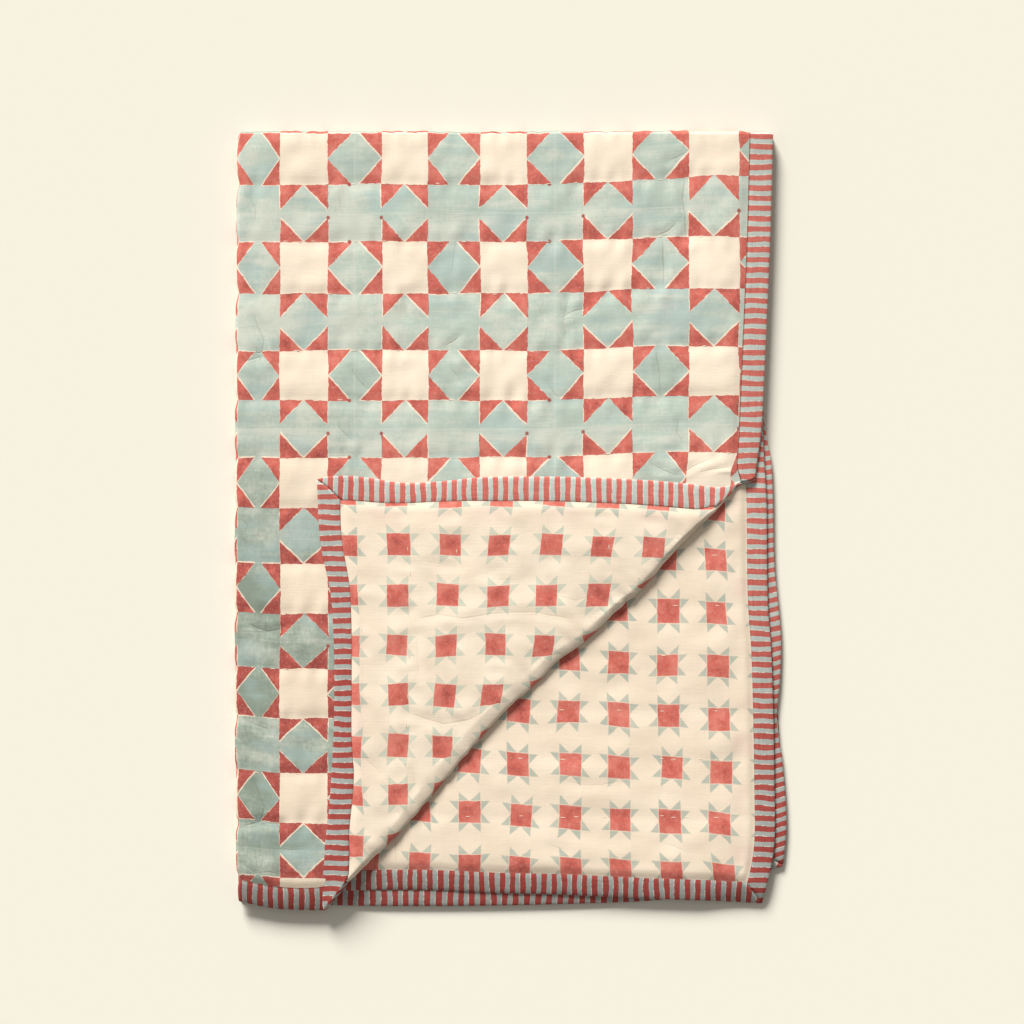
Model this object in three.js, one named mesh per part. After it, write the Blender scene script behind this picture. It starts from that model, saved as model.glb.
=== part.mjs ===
// A block-printed quilt with a striped binding, folded in quarters, the top corner turned back.
// Millimetres. +X runs from the side fold to the free sides, +Y from the free ends to the end fold,
// and +Z is up from the surface that the quilt lies on.
import * as THREE from "three";

// Quilted cloth: two printed sheets and a thin filling, stitched together in rows.
const loft = 5; // thickness between two stitched rows
const stitchDip = 0.6; // how far a stitched row draws in each face
const pressed = 2.6; // thickness inside the binding

// Binding: one strip along each side of the quilt, folded over its edge and mitred at the corners.
const cell = 30.75; // half the distance between stitched rows, and the binding's width on each face
const bindingCloth = 0.9;
const edgeRound = 1.2;
const fitGap = 0.3;

// Folds.
const layerPitch = 6; // from the middle of one layer to the middle of the next
const flatWidth = 582; // first layer, from the side fold to its free side
const flatLength = 882; // from the end fold to the free ends
const endFoldY = 437.5;
const middleZ = loft / 2 + 1.5 * layerPitch; // between the second and third layers
const foldPinch = 1.2; // how far a stitched row draws in the side fold
const sideFoldSteps = 5;
const endFoldSteps = 6;
const innerColumns = 9; // columns of the two inner layers, without the binding
const backRows = 14; // rows of the two lower layers, without the binding

// Corner turned back: a triangle of the first layer, with legs of this many cells.
const cornerCells = 16;
const rollRadius = 4.5; // of the bend, at the middle of the cloth
const rollSteps = 6;
const rollSettle = 20; // how fast the turned cloth sinks from the bend to its rest
const drawnReach = { ends: 1.2, middle: 5.2 }; // cells beside the bend that are drawn to its line
const rollEnds = { foot: new THREE.Vector2(-221.4, -449.1), side: new THREE.Vector2(276.6, 45.4) };
const turnedTip = new THREE.Vector2(-221.4, 46.6);

// Side fold: the middle of the bend, from the end fold (down 0) to the free ends (down 1).
const sideFold = [
  { down: 0, x: -309.5 },
  { down: 0.6, x: -311.3 },
  { down: 0.86, x: -310.2 },
  { down: 1, x: -305.6 },
];

// Free side of each layer, from the end fold (down 0) to its free end (down 1).
const freeSide = {
  first: [
    { down: 0, x: 300.7 },
    { down: 0.14, x: 297.3 },
    { down: 0.44, x: 286 },
    { down: 1, x: 272 },
  ],
  second: [
    { down: 0, x: 297.3 },
    { down: 0.39, x: 293.3 },
    { down: 0.6, x: 295 },
    { down: 0.68, x: 299.6 },
    { down: 0.86, x: 303 },
    { down: 0.93, x: 302 },
    { down: 1, x: 289 },
  ],
  third: [
    { down: 0, x: 297.3 },
    { down: 0.39, x: 298.4 },
    { down: 0.58, x: 303 },
    { down: 0.68, x: 310.6 },
    { down: 0.74, x: 309.9 },
    { down: 0.8, x: 305.9 },
    { down: 0.86, x: 312.6 },
    { down: 0.94, x: 317 },
    { down: 1, x: 313.4 },
  ],
  fourth: [
    { down: 0, x: 300.7 },
    { down: 0.39, x: 298 },
    { down: 0.6, x: 302 },
    { down: 0.76, x: 306 },
    { down: 0.9, x: 312 },
    { down: 1, x: 310 },
  ],
};

// Free end of each layer, from the side fold (across 0) to its free side (across 1).
const freeEnd = {
  first: [
    { across: 0, y: -438.7 },
    { across: 0.14, y: -449.1 },
    { across: 1, y: -445.6 },
  ],
  second: [
    { across: 0, y: -436.5 },
    { across: 0.1, y: -429 },
    { across: 0.22, y: -425.6 },
    { across: 0.43, y: -425.8 },
    { across: 0.76, y: -434 },
    { across: 1, y: -441 },
  ],
  third: [
    { across: 0, y: -437 },
    { across: 0.2, y: -444.5 },
    { across: 0.63, y: -442 },
    { across: 0.84, y: -432 },
    { across: 1, y: -398.5 },
  ],
  fourth: [
    { across: 0, y: -435 },
    { across: 0.2, y: -441.5 },
    { across: 0.63, y: -439 },
    { across: 0.84, y: -429 },
    { across: 1, y: -396 },
  ],
};

// Outer line of the bend, from its foot (along 0) to the free side (along 1): how far it bows in.
const rollBow = [
  { along: 0, inward: 0 },
  { along: 0.21, inward: 0 },
  { along: 0.31, inward: 9.3 },
  { along: 0.38, inward: 15.5 },
  { along: 0.53, inward: 10.2 },
  { along: 0.6, inward: 4.6 },
  { along: 0.78, inward: 1.8 },
  { along: 0.95, inward: 6 },
  { along: 1, inward: 0 },
];

// Free edges of the turned corner, from its tip (along 0) to the bend (along 1).
const turnedTop = [
  { along: 0, drop: 0 },
  { along: 0.22, drop: 3.5 },
  { along: 0.36, drop: -1 },
  { along: 0.52, drop: -2 },
  { along: 0.79, drop: 1.5 },
  { along: 0.95, drop: 8 },
  { along: 1, drop: 0 },
];
const turnedSide = [
  { along: 0, inset: 0 },
  { along: 0.14, inset: 4 },
  { along: 0.28, inset: 15.5 },
  { along: 0.52, inset: 18.5 },
  { along: 0.75, inset: 13.5 },
  { along: 0.91, inset: 6 },
  { along: 1, inset: 0 },
];

const fabrics = {
  quilt: new THREE.MeshStandardMaterial({ color: 0xe8d3bb, roughness: 0.95, metalness: 0 }),
  binding: new THREE.MeshStandardMaterial({ color: 0xc9786c, roughness: 0.95, metalness: 0 }),
};

const { lerp, clamp } = THREE.MathUtils;

// Smooth curve through the rows of a table: the second column, at a place in the first.
function curveAt(table, place) {
  const [key, value] = Object.keys(table[0]);
  const last = table.length - 1;
  const n = clamp(table.findLastIndex((row) => row[key] <= place), 0, last - 1);
  const slope = (m) => {
    const before = table[Math.max(0, m - 1)];
    const after = table[Math.min(last, m + 1)];
    return (after[value] - before[value]) / (after[key] - before[key]);
  };
  const span = table[n + 1][key] - table[n][key];
  const f = clamp((place - table[n][key]) / span, 0, 1);
  const bend = f * (1 - f) * span * ((1 - f) * slope(n) - f * slope(n + 1));
  return lerp(table[n][value], table[n + 1][value], f * f * (3 - 2 * f)) + bend;
}

function range(count, each) {
  return Array.from({ length: count }, (_, n) => each(n));
}

// Columns of the sheet, from the inner layers' free side, round the side fold, to the outer layers'.
// turn is the angle round the fold, across the share of a layer's width, and cells counts from the
// column where the turned corner starts.
function sheetColumns() {
  const bound = 1 - cell / flatWidth;
  const inner = [1, ...range(innerColumns + 1, (n) => bound * (1 - n / innerColumns))];
  const lead = flatWidth - cornerCells * cell;
  const leadCells = 3;
  return [
    ...inner.map((across) => ({ turn: Math.PI, across })),
    ...range(sideFoldSteps - 1, (n) => ({ turn: Math.PI * (1 - (n + 1) / sideFoldSteps), across: 0 })),
    ...range(leadCells, (n) => ({
      turn: 0,
      across: (n / leadCells) * (lead / flatWidth),
      cells: ((n / leadCells - 1) * lead) / cell,
    })),
    ...range(cornerCells + 1, (n) => ({ turn: 0, across: (lead + n * cell) / flatWidth, cells: n })),
  ];
}

// Rows of the sheet, from the upper layers' free end, round the end fold, to the lower layers'.
function sheetRows() {
  const evenCells = 27;
  const topCells = 2;
  const top = flatLength - evenCells * cell;
  const bound = 1 - cell / flatLength;
  return [
    ...range(evenCells, (n) => ({ turn: 0, down: 1 - (n * cell) / flatLength, cells: n })),
    ...range(topCells + 1, (n) => ({
      turn: 0,
      down: (1 - n / topCells) * (top / flatLength),
      cells: evenCells + (n / topCells) * (top / cell),
    })),
    ...range(endFoldSteps - 1, (n) => ({ turn: (Math.PI * (n + 1)) / endFoldSteps, down: 0 })),
    ...range(backRows + 1, (n) => ({ turn: Math.PI, down: (bound * n) / backRows })),
    { turn: Math.PI, down: 1 },
  ];
}

const columns = sheetColumns();
const rows = sheetRows();
const lastColumn = columns.length - 1;
const lastRow = rows.length - 1;
const cornerColumn = lastColumn - cornerCells;

// A row of stitches lies on every second line of the upper layers, counted from the binding.
function isStitched(row) {
  return rows[row].turn === 0 && row % 2 === 1;
}

// The middle of the cloth, and the way its printed face looks, where a column crosses a row.
function foldedNode(column, row) {
  const { turn, across } = columns[column];
  const { turn: endTurn, down } = rows[row];
  const inner = (1 - Math.cos(turn)) / 2;
  const under = (1 - Math.cos(endTurn)) / 2;
  const mix = (edges, place) =>
    lerp(
      lerp(curveAt(edges.first, place), curveAt(edges.second, place), inner),
      lerp(curveAt(edges.fourth, place), curveAt(edges.third, place), inner),
      under,
    );
  const foldX = curveAt(sideFold, down) + (isStitched(row) ? foldPinch * Math.sin(turn) : 0);
  const rise = layerPitch * (1 + Math.cos(turn) / 2);
  const point = new THREE.Vector3(
    lerp(foldX, mix(freeSide, down), across) - (layerPitch / 2) * Math.sin(turn),
    lerp(endFoldY, mix(freeEnd, across), down) + rise * Math.sin(endTurn),
    middleZ + rise * Math.cos(endTurn),
  );
  const normal = new THREE.Vector3(
    -Math.sin(turn),
    Math.cos(turn) * Math.sin(endTurn),
    Math.cos(turn) * Math.cos(endTurn),
  );
  return { point, normal };
}

// The outer line of the bend in plan, and where the cloth starts to bend.
function rollLine(along) {
  const line = rollEnds.side.clone().sub(rollEnds.foot);
  const inward = new THREE.Vector2(-line.y, line.x).normalize();
  return rollEnds.foot.clone().addScaledVector(line, along).addScaledVector(inward, curveAt(rollBow, along));
}

function rollStart(along) {
  const step = 0.02;
  const run = rollLine(Math.min(1, along + step)).sub(rollLine(Math.max(0, along - step)));
  const outward = new THREE.Vector2(run.y, -run.x).normalize();
  return { plan: rollLine(along).addScaledVector(outward, -rollRadius - loft / 2), outward };
}

// The first layer beside the bend is drawn to the line where the bend starts, less and less away from it.
function drawnNode(column, row) {
  const node = foldedNode(column, row);
  const i = columns[column].cells;
  const p = rows[row].cells;
  if (i === undefined || p === undefined) return node;
  const along = clamp((i + p) / 2 / cornerCells, 0, 1);
  const reach = lerp(drawnReach.ends, drawnReach.middle, Math.sin(Math.PI * along));
  const pull = Math.exp(-(((p - i) / reach) ** 2));
  const diagonal = clamp((i + p) / 2, 0, cornerCells);
  const low = foldedNode(cornerColumn + Math.floor(diagonal), Math.floor(diagonal)).point;
  const high = foldedNode(cornerColumn + Math.ceil(diagonal), Math.ceil(diagonal)).point;
  const here = low.lerp(high, diagonal % 1);
  const { plan } = rollStart(along);
  node.point.x += pull * (plan.x - here.x);
  node.point.y += pull * (plan.y - here.y);
  return node;
}

// Round the bend, from the first layer (step 0) to the turned corner (step rollSteps), the face inside.
function rollNode(row, step) {
  const angle = (Math.PI * step) / rollSteps;
  const { plan, outward } = rollStart(row / cornerCells);
  const { point } = foldedNode(lastColumn, row);
  plan.addScaledVector(outward, rollRadius * Math.sin(angle));
  return {
    point: new THREE.Vector3(plan.x, plan.y, point.z + rollRadius * (1 - Math.cos(angle))),
    normal: new THREE.Vector3(-outward.x * Math.sin(angle), -outward.y * Math.sin(angle), Math.cos(angle)),
  };
}

// The turned corner: a triangle between the bend and its two free edges, each with its own line.
function turnedNode(column, row) {
  const i = column - cornerColumn;
  const tip = (i - row) / cornerCells;
  const side = row / cornerCells;
  const foot = 1 - tip - side;
  const sideEnd = rollStart(1).plan;
  const footEnd = rollStart(0).plan;
  const along = side / (side + foot || 1);
  const bow = rollStart(along).plan.sub(footEnd.clone().lerp(sideEnd, along));
  const { point } = foldedNode(column, row);
  const clear = (tip * cornerCells * cell) / Math.SQRT2;
  const plan = turnedTip
    .clone()
    .multiplyScalar(tip)
    .addScaledVector(sideEnd, side)
    .addScaledVector(footEnd, foot)
    .addScaledVector(bow, (1 - tip) ** 2);
  plan.y -= (1 - foot) ** 2 * curveAt(turnedTop, side / (tip + side));
  plan.x += (1 - side) ** 2 * curveAt(turnedSide, foot / (tip + foot));
  const lift = layerPitch + (2 * rollRadius - layerPitch) * Math.exp(-clear / rollSettle);
  return {
    point: new THREE.Vector3(plan.x, plan.y, point.z + lift),
    normal: new THREE.Vector3(0, 0, -1),
  };
}

// How far a crossing lies past the bend, in cells: on it at 0, turned back above that.
function pastBend(column, row) {
  return row <= cornerCells && column >= cornerColumn ? column - cornerColumn - row : -1;
}

// A crossing of the finished sheet. step tells the crossings on the bend apart.
const nodes = new Map();
function sheetNode(column, row, step) {
  const past = pastBend(column, row);
  const key = `${column} ${row} ${past === 0 ? step : ""}`;
  if (!nodes.has(key)) {
    const make = past > 0 ? turnedNode : past === 0 && step > 0 ? () => rollNode(row, step) : drawnNode;
    nodes.set(key, make(column, row));
  }
  return nodes.get(key);
}

function between(a, b, share) {
  return { point: a.point.clone().lerp(b.point, share), normal: a.normal.clone().lerp(b.normal, share) };
}

// A closed solid from numbered corners, with equal corners joined and empty triangles left out.
function closedGeometry() {
  const numbers = new Map();
  const positions = [];
  const indices = [];
  return {
    corner(v) {
      const key = v.toArray().map((n) => Math.round(n * 1000)).join();
      if (!numbers.has(key)) {
        numbers.set(key, numbers.size);
        positions.push(v.x, v.y, v.z);
      }
      return numbers.get(key);
    },
    triangle(a, b, c) {
      if (a !== b && b !== c && c !== a) indices.push(a, b, c);
    },
    finish() {
      const geometry = new THREE.BufferGeometry();
      geometry.setAttribute("position", new THREE.Float32BufferAttribute(positions, 3));
      geometry.setIndex(indices);
      geometry.computeVertexNormals();
      return geometry;
    },
  };
}

// Triangles of the sheet, as crossings of columns, rows and bend steps, the printed face up.
function sheetTriangles() {
  const triangles = [];
  const quad = (a, b, c, d) => triangles.push([a, b, c], [a, c, d]);
  for (let q = 0; q < lastColumn; q++) {
    for (let p = 0; p < lastRow; p++) {
      const cut = pastBend(q, p) === 0 && pastBend(q + 1, p + 1) === 0;
      const step = pastBend(q, p) > 0 ? rollSteps : 0;
      if (!cut) {
        quad([q, p, step], [q + 1, p, step], [q + 1, p + 1, step], [q, p + 1, step]);
        continue;
      }
      triangles.push([[q, p, 0], [q + 1, p + 1, 0], [q, p + 1, 0]]);
      triangles.push([[q, p, rollSteps], [q + 1, p, 0], [q + 1, p + 1, rollSteps]]);
      for (let s = 0; s < rollSteps; s++) {
        quad([q, p, s], [q, p, s + 1], [q + 1, p + 1, s + 1], [q + 1, p + 1, s]);
      }
    }
  }
  return triangles;
}

// The quilted cloth: both faces of the sheet, drawn in at its stitched rows, and its raw edge all round.
function quiltGeometry() {
  const body = closedGeometry();
  const edgeShare = (bindingCloth + fitGap) / cell;
  const inside = (n, last) => (n === 0 ? 1 : n === last ? last - 1 : n);
  const placed = ([q, p, step]) => {
    const node = sheetNode(q, p, step);
    if (q > 0 && q < lastColumn && p > 0 && p < lastRow) return node;
    const past = pastBend(q, p);
    if (past === 0) {
      const inner = p === 0 ? [q + 1, 1] : [q - 1, p - 1];
      return between(node, sheetNode(...inner, step), edgeShare);
    }
    const inner = sheetNode(inside(q, lastColumn), inside(p, lastRow), past > 0 ? rollSteps : 0);
    return between(node, inner, edgeShare);
  };
  const halfThickness = ([q, p]) => {
    if (q < 2 || q > lastColumn - 2 || p < 2 || p > lastRow - 2) return pressed / 2;
    return loft / 2 - (isStitched(p) ? stitchDip : 0);
  };
  const corners = (crossing) => {
    const { point, normal } = placed(crossing);
    const half = halfThickness(crossing);
    return {
      face: body.corner(point.clone().addScaledVector(normal, half)),
      back: body.corner(point.clone().addScaledVector(normal, -half)),
    };
  };
  const edges = new Map();
  for (const triangle of sheetTriangles()) {
    const [a, b, c] = triangle.map(corners);
    body.triangle(a.face, b.face, c.face);
    body.triangle(a.back, c.back, b.back);
    for (const [from, to] of [[a, b], [b, c], [c, a]]) edges.set(`${from.face} ${to.face}`, [from, to]);
  }
  for (const [from, to] of edges.values()) {
    if (edges.has(`${to.face} ${from.face}`)) continue;
    body.triangle(from.face, from.back, to.back);
    body.triangle(from.face, to.back, to.face);
  }
  return body.finish();
}

// Section of the binding: how deep from the quilt's edge, and how far from the middle of the cloth.
const inLift = pressed / 2 + fitGap;
const outLift = inLift + bindingCloth;
const bindingSection = [
  { depth: cell, lift: outLift },
  { depth: edgeRound, lift: outLift },
  { depth: 0, lift: outLift - edgeRound / 2 },
  { depth: 0, lift: edgeRound / 2 - outLift },
  { depth: edgeRound, lift: -outLift },
  { depth: cell, lift: -outLift },
  { depth: cell, lift: -inLift },
  { depth: bindingCloth, lift: -inLift },
  { depth: bindingCloth, lift: inLift },
  { depth: cell, lift: inLift },
];

// Places along one side of the quilt, each with its crossing on the edge and the one a binding's width in.
// bend gives, for a side that the bend crosses, its crossing on the edge and the next one in, and whether
// the turned part comes first.
function bindingStations(count, edgeAt, innerAt, bend) {
  const stations = [];
  const add = (inner, edge, step) => stations.push({ inner: innerAt(inner, step), edge: edgeAt(edge, step) });
  const firstStep = bend?.turnedFirst ? rollSteps : 0;
  for (let n = 1; n < count; n++) {
    const past = bend !== undefined && n > Math.min(bend.edge, bend.inner);
    if (bend && n === Math.max(bend.edge, bend.inner)) {
      for (let s = 0; s <= rollSteps; s++) add(bend.inner, bend.edge, Math.abs(firstStep - s));
    }
    add(n, n, past ? rollSteps - firstStep : firstStep);
  }
  const mitre = (corner, nextInner, nextEdge, first) => {
    const share = (fitGap * Math.SQRT1_2) / cell;
    const inner = between(first.inner, nextInner, share);
    first.inner = inner;
    return { inner, edge: between(corner, nextEdge, share) };
  };
  const start = stations[0];
  const end = stations.at(-1);
  const endStep = bend ? rollSteps - firstStep : 0;
  stations.unshift(mitre(edgeAt(0, firstStep), stations[1].inner, start.edge, start));
  stations.push(mitre(edgeAt(count, endStep), stations.at(-2).inner, end.edge, end));
  return stations;
}

// A binding strip: its section carried along the stations and closed at both mitres. edgeIsRight tells on
// which side of the way the quilt's edge lies. Each wall is split as the cloth under it is.
function bindingGeometry(stations, edgeIsRight, splitsOutward) {
  const strip = closedGeometry();
  const rings = stations.map(({ inner, edge }) =>
    bindingSection.map(({ depth, lift }) => {
      const { point, normal } = between(edge, inner, depth / cell);
      return strip.corner(point.addScaledVector(normal, lift));
    }),
  );
  const triangle = edgeIsRight ? (a, b, c) => strip.triangle(a, c, b) : strip.triangle;
  for (let n = 1; n < rings.length; n++) {
    bindingSection.forEach(({ depth }, m) => {
      const next = (m + 1) % bindingSection.length;
      const [a, b, c, d] = [rings[n - 1][m], rings[n][m], rings[n][next], rings[n - 1][next]];
      const run = depth - bindingSection[next].depth;
      if (run === 0 ? !edgeIsRight : run > 0 === splitsOutward) {
        triangle(a, b, c);
        triangle(a, c, d);
      } else {
        triangle(a, b, d);
        triangle(b, c, d);
      }
    });
  }
  const outline = bindingSection.map(({ depth, lift }) => new THREE.Vector2(depth, lift));
  for (const [a, b, c] of THREE.ShapeUtils.triangulateShape(outline, [])) {
    triangle(rings[0][a], rings[0][b], rings[0][c]);
    triangle(rings.at(-1)[a], rings.at(-1)[c], rings.at(-1)[b]);
  }
  return strip.finish();
}

function named(name, geometry, material) {
  const mesh = new THREE.Mesh(geometry, material.clone());
  mesh.name = name;
  return mesh;
}

function bindingMeshes() {
  const sideAt = (column) => (row, step) => sheetNode(column, row, step);
  const endAt = (row) => (column, step) => sheetNode(column, row, step);
  const strips = {
    binding_outer_side: bindingGeometry(
      bindingStations(lastRow, sideAt(lastColumn), sideAt(lastColumn - 1), {
        edge: cornerCells,
        inner: cornerCells - 1,
        turnedFirst: true,
      }),
      true,
      true,
    ),
    binding_inner_side: bindingGeometry(bindingStations(lastRow, sideAt(0), sideAt(1)), false, false),
    binding_upper_end: bindingGeometry(
      bindingStations(lastColumn, endAt(0), endAt(1), {
        edge: cornerColumn,
        inner: cornerColumn + 1,
        turnedFirst: false,
      }),
      true,
      false,
    ),
    binding_lower_end: bindingGeometry(
      bindingStations(lastColumn, endAt(lastRow), endAt(lastRow - 1)),
      false,
      true,
    ),
  };
  return Object.entries(strips).map(([name, geometry]) => named(name, geometry, fabrics.binding));
}

const foldedQuilt = new THREE.Group();
foldedQuilt.add(named("quilt", quiltGeometry(), fabrics.quilt), ...bindingMeshes());

// The origin is the middle of the outline, on the surface below.
const outline = new THREE.Box3().setFromObject(foldedQuilt);
const middle = outline.getCenter(new THREE.Vector3());
foldedQuilt.position.set(-middle.x, -middle.y, -outline.min.z);

export default foldedQuilt;
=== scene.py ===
import math
from types import SimpleNamespace

import bpy
import numpy as np
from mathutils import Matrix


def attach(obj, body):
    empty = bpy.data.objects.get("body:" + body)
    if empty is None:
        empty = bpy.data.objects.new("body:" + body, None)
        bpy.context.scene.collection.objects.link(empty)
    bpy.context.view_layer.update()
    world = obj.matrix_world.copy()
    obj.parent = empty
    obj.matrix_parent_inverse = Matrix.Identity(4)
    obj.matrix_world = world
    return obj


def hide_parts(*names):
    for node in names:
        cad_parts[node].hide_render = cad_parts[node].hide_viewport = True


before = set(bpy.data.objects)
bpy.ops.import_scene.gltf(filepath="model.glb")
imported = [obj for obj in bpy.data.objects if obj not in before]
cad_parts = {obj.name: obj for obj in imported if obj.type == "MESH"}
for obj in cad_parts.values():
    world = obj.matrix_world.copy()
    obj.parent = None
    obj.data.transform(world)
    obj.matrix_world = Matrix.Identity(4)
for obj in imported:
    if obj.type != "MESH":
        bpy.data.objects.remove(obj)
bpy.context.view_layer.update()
mm = 0.001
print("frame loaded:", ", ".join(sorted(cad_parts)))

# The quilt lies folded in quarters: a side fold at -X, an end fold at +Y, the top corner turned back.
# All sizes are in millimetres. "first" is the top layer, "fourth" lies on the floor.
folded = {
    "loft": 5.0,                  # thickness between two rows of stitches
    "pressed": 0.9,               # thickness inside the binding
    "rawEdge": 0.4,               # thickness at the cut edge
    "rawReach": 4.0,
    "loftGrows": (-1.0, 8.0),     # inwards from a binding's seam
    "cell": 30.75,                # half a quilting row
    "finePerCell": 7,             # grid steps in a cell
    "layerPitch": 6.0,            # from one layer's middle to the next
    "flatWidth": 582.0,           # side fold to free side
    "flatLength": 882.0,          # end fold to free end
    "endFoldY": 443.8,
    "endFlat": 0.3,               # the end fold is pressed to this share of a round one
    "endPrint": 0.7,              # and the print takes this share of the way round it
    "endInset": 4.5,              # the inner layers fold this much earlier
    "scallop": 2.4,               # how far a stitched row draws in the side fold
    "scallopReach": 8.0,
    "cornerCells": 16,            # legs of the turned corner
    "bendFoot": (-215.2, -450.5),
    "bendSide": (281.0, 46.0),
    "turnedTip": (-223.0, 46.6),
    "bendSteps": 12,
    "settle": 40.0,               # how fast the turned corner sinks from the bend
    "drawnEnds": 1.2,             # cells beside the bend that are drawn to its line
    "drawnMiddle": 5.2,
    "bendPower": 1.5,             # above 1 the bend's upper side is a straighter slope than an ellipse's
    "edgeShare": 0.3,             # how high its edge lies in it
    "edgeHalf": 1.25,             # half the thickness there
    "edgeInside": 0.15,           # share of the thickness that the inside keeps there
    "bendShift": 1.6,             # power: how late round the bend the cloth slides along it
    "bendPrint": 1.7,             # the print is gathered in its slope
    "thinned": 0.4,               # the cloth is pressed thinner beside it
    "thinnedReach": 30.0,
    "sideReach": 60.0,            # the bound edges are thinner, so they hang lower
    "endReach": 42.0,
    "sideDroop": {"first": 4.5, "second": 3.5, "third": 2.5, "fourth": 0.8},
    "endDroop": {"first": 9.0, "second": 5.8, "third": 4.2, "fourth": 0.8},
    "cornerHang": 4.5,            # the second layer's free corner has nothing under it
    "cornerReach": 30.0,
    "cornerFrom": (0.86, 0.97),   # shares of the width
    "covered": 0.3,               # how far the turned corner presses the cloth under it
    "coveredReach": 8.0,          # in from its short side
    "coveredTop": 0.02,           # and this share down from its tip
    "turnedDroop": 1.4,
    "turnedDroopReach": 26.0,
    "originShift": (0.256, -0.164),
    "flatSize": (1.18, 1.79),     # metres, opened out
}
cell, finePerCell, cornerCells = folded["cell"], folded["finePerCell"], folded["cornerCells"]
cornerSteps = cornerCells * finePerCell
flatWidth, flatLength = folded["flatWidth"], folded["flatLength"]
loft, layerPitch = folded["loft"], folded["layerPitch"]
lead = flatWidth - cornerCells * cell
middleZ = loft / 2 + 1.5 * layerPitch
firstZ = middleZ + 1.5 * layerPitch

# Each table has a place (a share of the way) and a distance.
sideFold = [(0, -310.5), (0.3, -312.5), (0.6, -313.3), (0.86, -312.4), (1, -311)]
freeSide = {
    "first": [(0, 300.7), (0.14, 297.3), (0.44, 286), (1, 272)],
    "second": [(0, 297.3), (0.2, 292), (0.33, 289), (0.4, 290), (0.47, 293.5), (0.6, 295), (0.68, 299.6),
               (0.86, 303), (0.93, 302), (1, 289)],
    "third": [(0, 297.3), (0.2, 292), (0.33, 289), (0.39, 291.5), (0.45, 300), (0.58, 303), (0.68, 310.6),
              (0.74, 309.9), (0.8, 305.9), (0.86, 312.6), (0.94, 317), (1, 313.4)],
    "fourth": [(0, 300.7), (0.2, 293), (0.33, 288), (0.39, 289.5), (0.45, 296), (0.6, 302), (0.76, 306),
               (0.9, 312), (1, 310)],
}
freeEnd = {
    "first": [(0, -439.2), (0.03, -443.2), (0.06, -446.6), (0.093, -448.6), (0.148, -450), (1, -445.6)],
    "second": [(0, -436.5), (0.1, -429), (0.214, -426.5), (0.35, -426), (0.477, -429.2), (0.618, -431.3),
               (0.759, -435.5), (0.9, -438.6), (1, -442)],
    "third": [(0, -437), (0.2, -444.5), (0.63, -442), (0.84, -432), (1, -398.5)],
    "fourth": [(0, -435), (0.2, -441.5), (0.63, -439), (0.84, -429), (1, -396)],
}
bendBow = [(0, 0), (0.035, 2), (0.068, 4.2), (0.121, 4.4), (0.151, 3.4), (0.201, 4.5), (0.252, 6.9),
           (0.302, 9.9), (0.332, 12), (0.362, 13.6), (0.403, 15.5), (0.433, 16.3), (0.463, 16.1),
           (0.503, 13.8), (0.528, 13.7), (0.554, 14.9), (0.574, 13.1), (0.604, 9.2), (0.634, 7.3),
           (0.695, 7), (0.725, 4.9), (0.755, 4.7), (0.785, 6.4), (0.805, 7.7), (0.835, 8.6), (0.866, 8.9),
           (0.906, 8), (0.931, 8.1), (0.956, 9.5), (0.972, 10.9), (0.981, 7.9), (0.992, 2.3), (1, 0)]
bendPlace = [(0, 0), (0.5, 0.506), (0.75, 0.765), (0.875, 0.903), (0.9375, 0.972), (1, 1)]
turnedPlace = [(0, 0), (0.5, 0.493), (1, 0.972)]
bendReach = [(0, 1.4), (0.06, 3), (0.12, 6), (0.2, 12), (0.36, 16), (0.5, 13), (0.65, 8), (0.85, 4.5),
             (0.95, 2.8), (0.975, 1), (1, 0.5)]
bendHeight = [(0, 1.8), (0.06, 2.4), (0.2, 2.6), (0.5, 2.6), (0.85, 2.5), (0.94, 2.3), (1, 1.8)]
bendSink = [(0, 0), (0.12, 0.8), (0.3, 1.5), (0.7, 1.5), (0.88, 0.8), (1, 0)]
turnedTop = [(0, 0), (0.026, -3.7), (0.08, -4.3), (0.135, -1.6), (0.19, 2.4), (0.235, 2.8), (0.3, 0.4),
             (0.375, -3.7), (0.43, -4.9), (0.5, -5.6), (0.58, -5.9), (0.66, -5), (0.77, -3.2), (0.875, 0.3),
             (0.928, 3.1), (0.96, 4.3), (1, 0)]
turnedSide = [(0, 0), (0.14, 2.9), (0.28, 15), (0.52, 16.7), (0.75, 10.2), (0.884, 1.6), (0.95, 1), (1, 0)]

# Lines between the printed checks on the first layer, wide columns and cream rows first. A pair of places
# says where a rise or the gathering starts and where it is full.
checkLines = {
    "columns": [-316.0, -266.2, -210.9, -149.3, -96.5, -36.0, 17.6, 82.5, 138.6, 203.4, 261.3, 325.8],
    "firstColumn": -2,
    "rows": [445.6, 386.3, 320.3, 260.8, 195.3, 138.0, 72.5, 14.6, -49.6, -107.3, -170.8, -227.6,
             -290.4, -347.5, -411.4, -468.0],
    "repeatX": 116.7,
    "repeatY": 123.0,
    "rise": 5.8, "riseX": (20.0, 180.0),                                               # to the free side
    "foldRise": 5.0, "foldRiseX": (-258.0, -316.0), "foldRiseY": (150.0, -380.0),      # to the side fold
    "cornerRise": 5.0, "cornerRiseX": (150.0, 235.0), "cornerRiseY": (320.0, 400.0),   # in the far corner
    "gather": 11.0, "gatherX": (170.0, 265.0), "gatherY": (85.0, 50.0),                # at the bend's end
}
starPlaces = {
    "lying": {"origin": (-48.5, -35.2), "pitch": (56.6, 60.3), "lean": -0.00008, "fall": 0.04, "sag": 0.0},
    "turned": {"origin": (-130.5, -28.2), "pitch": (58.6, 57.5), "lean": 0.00045, "fall": 0.0, "sag": 4.5},
    "sagX": (60.0, 180.0), "sagY": (-120.0, -20.0),
}
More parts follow.
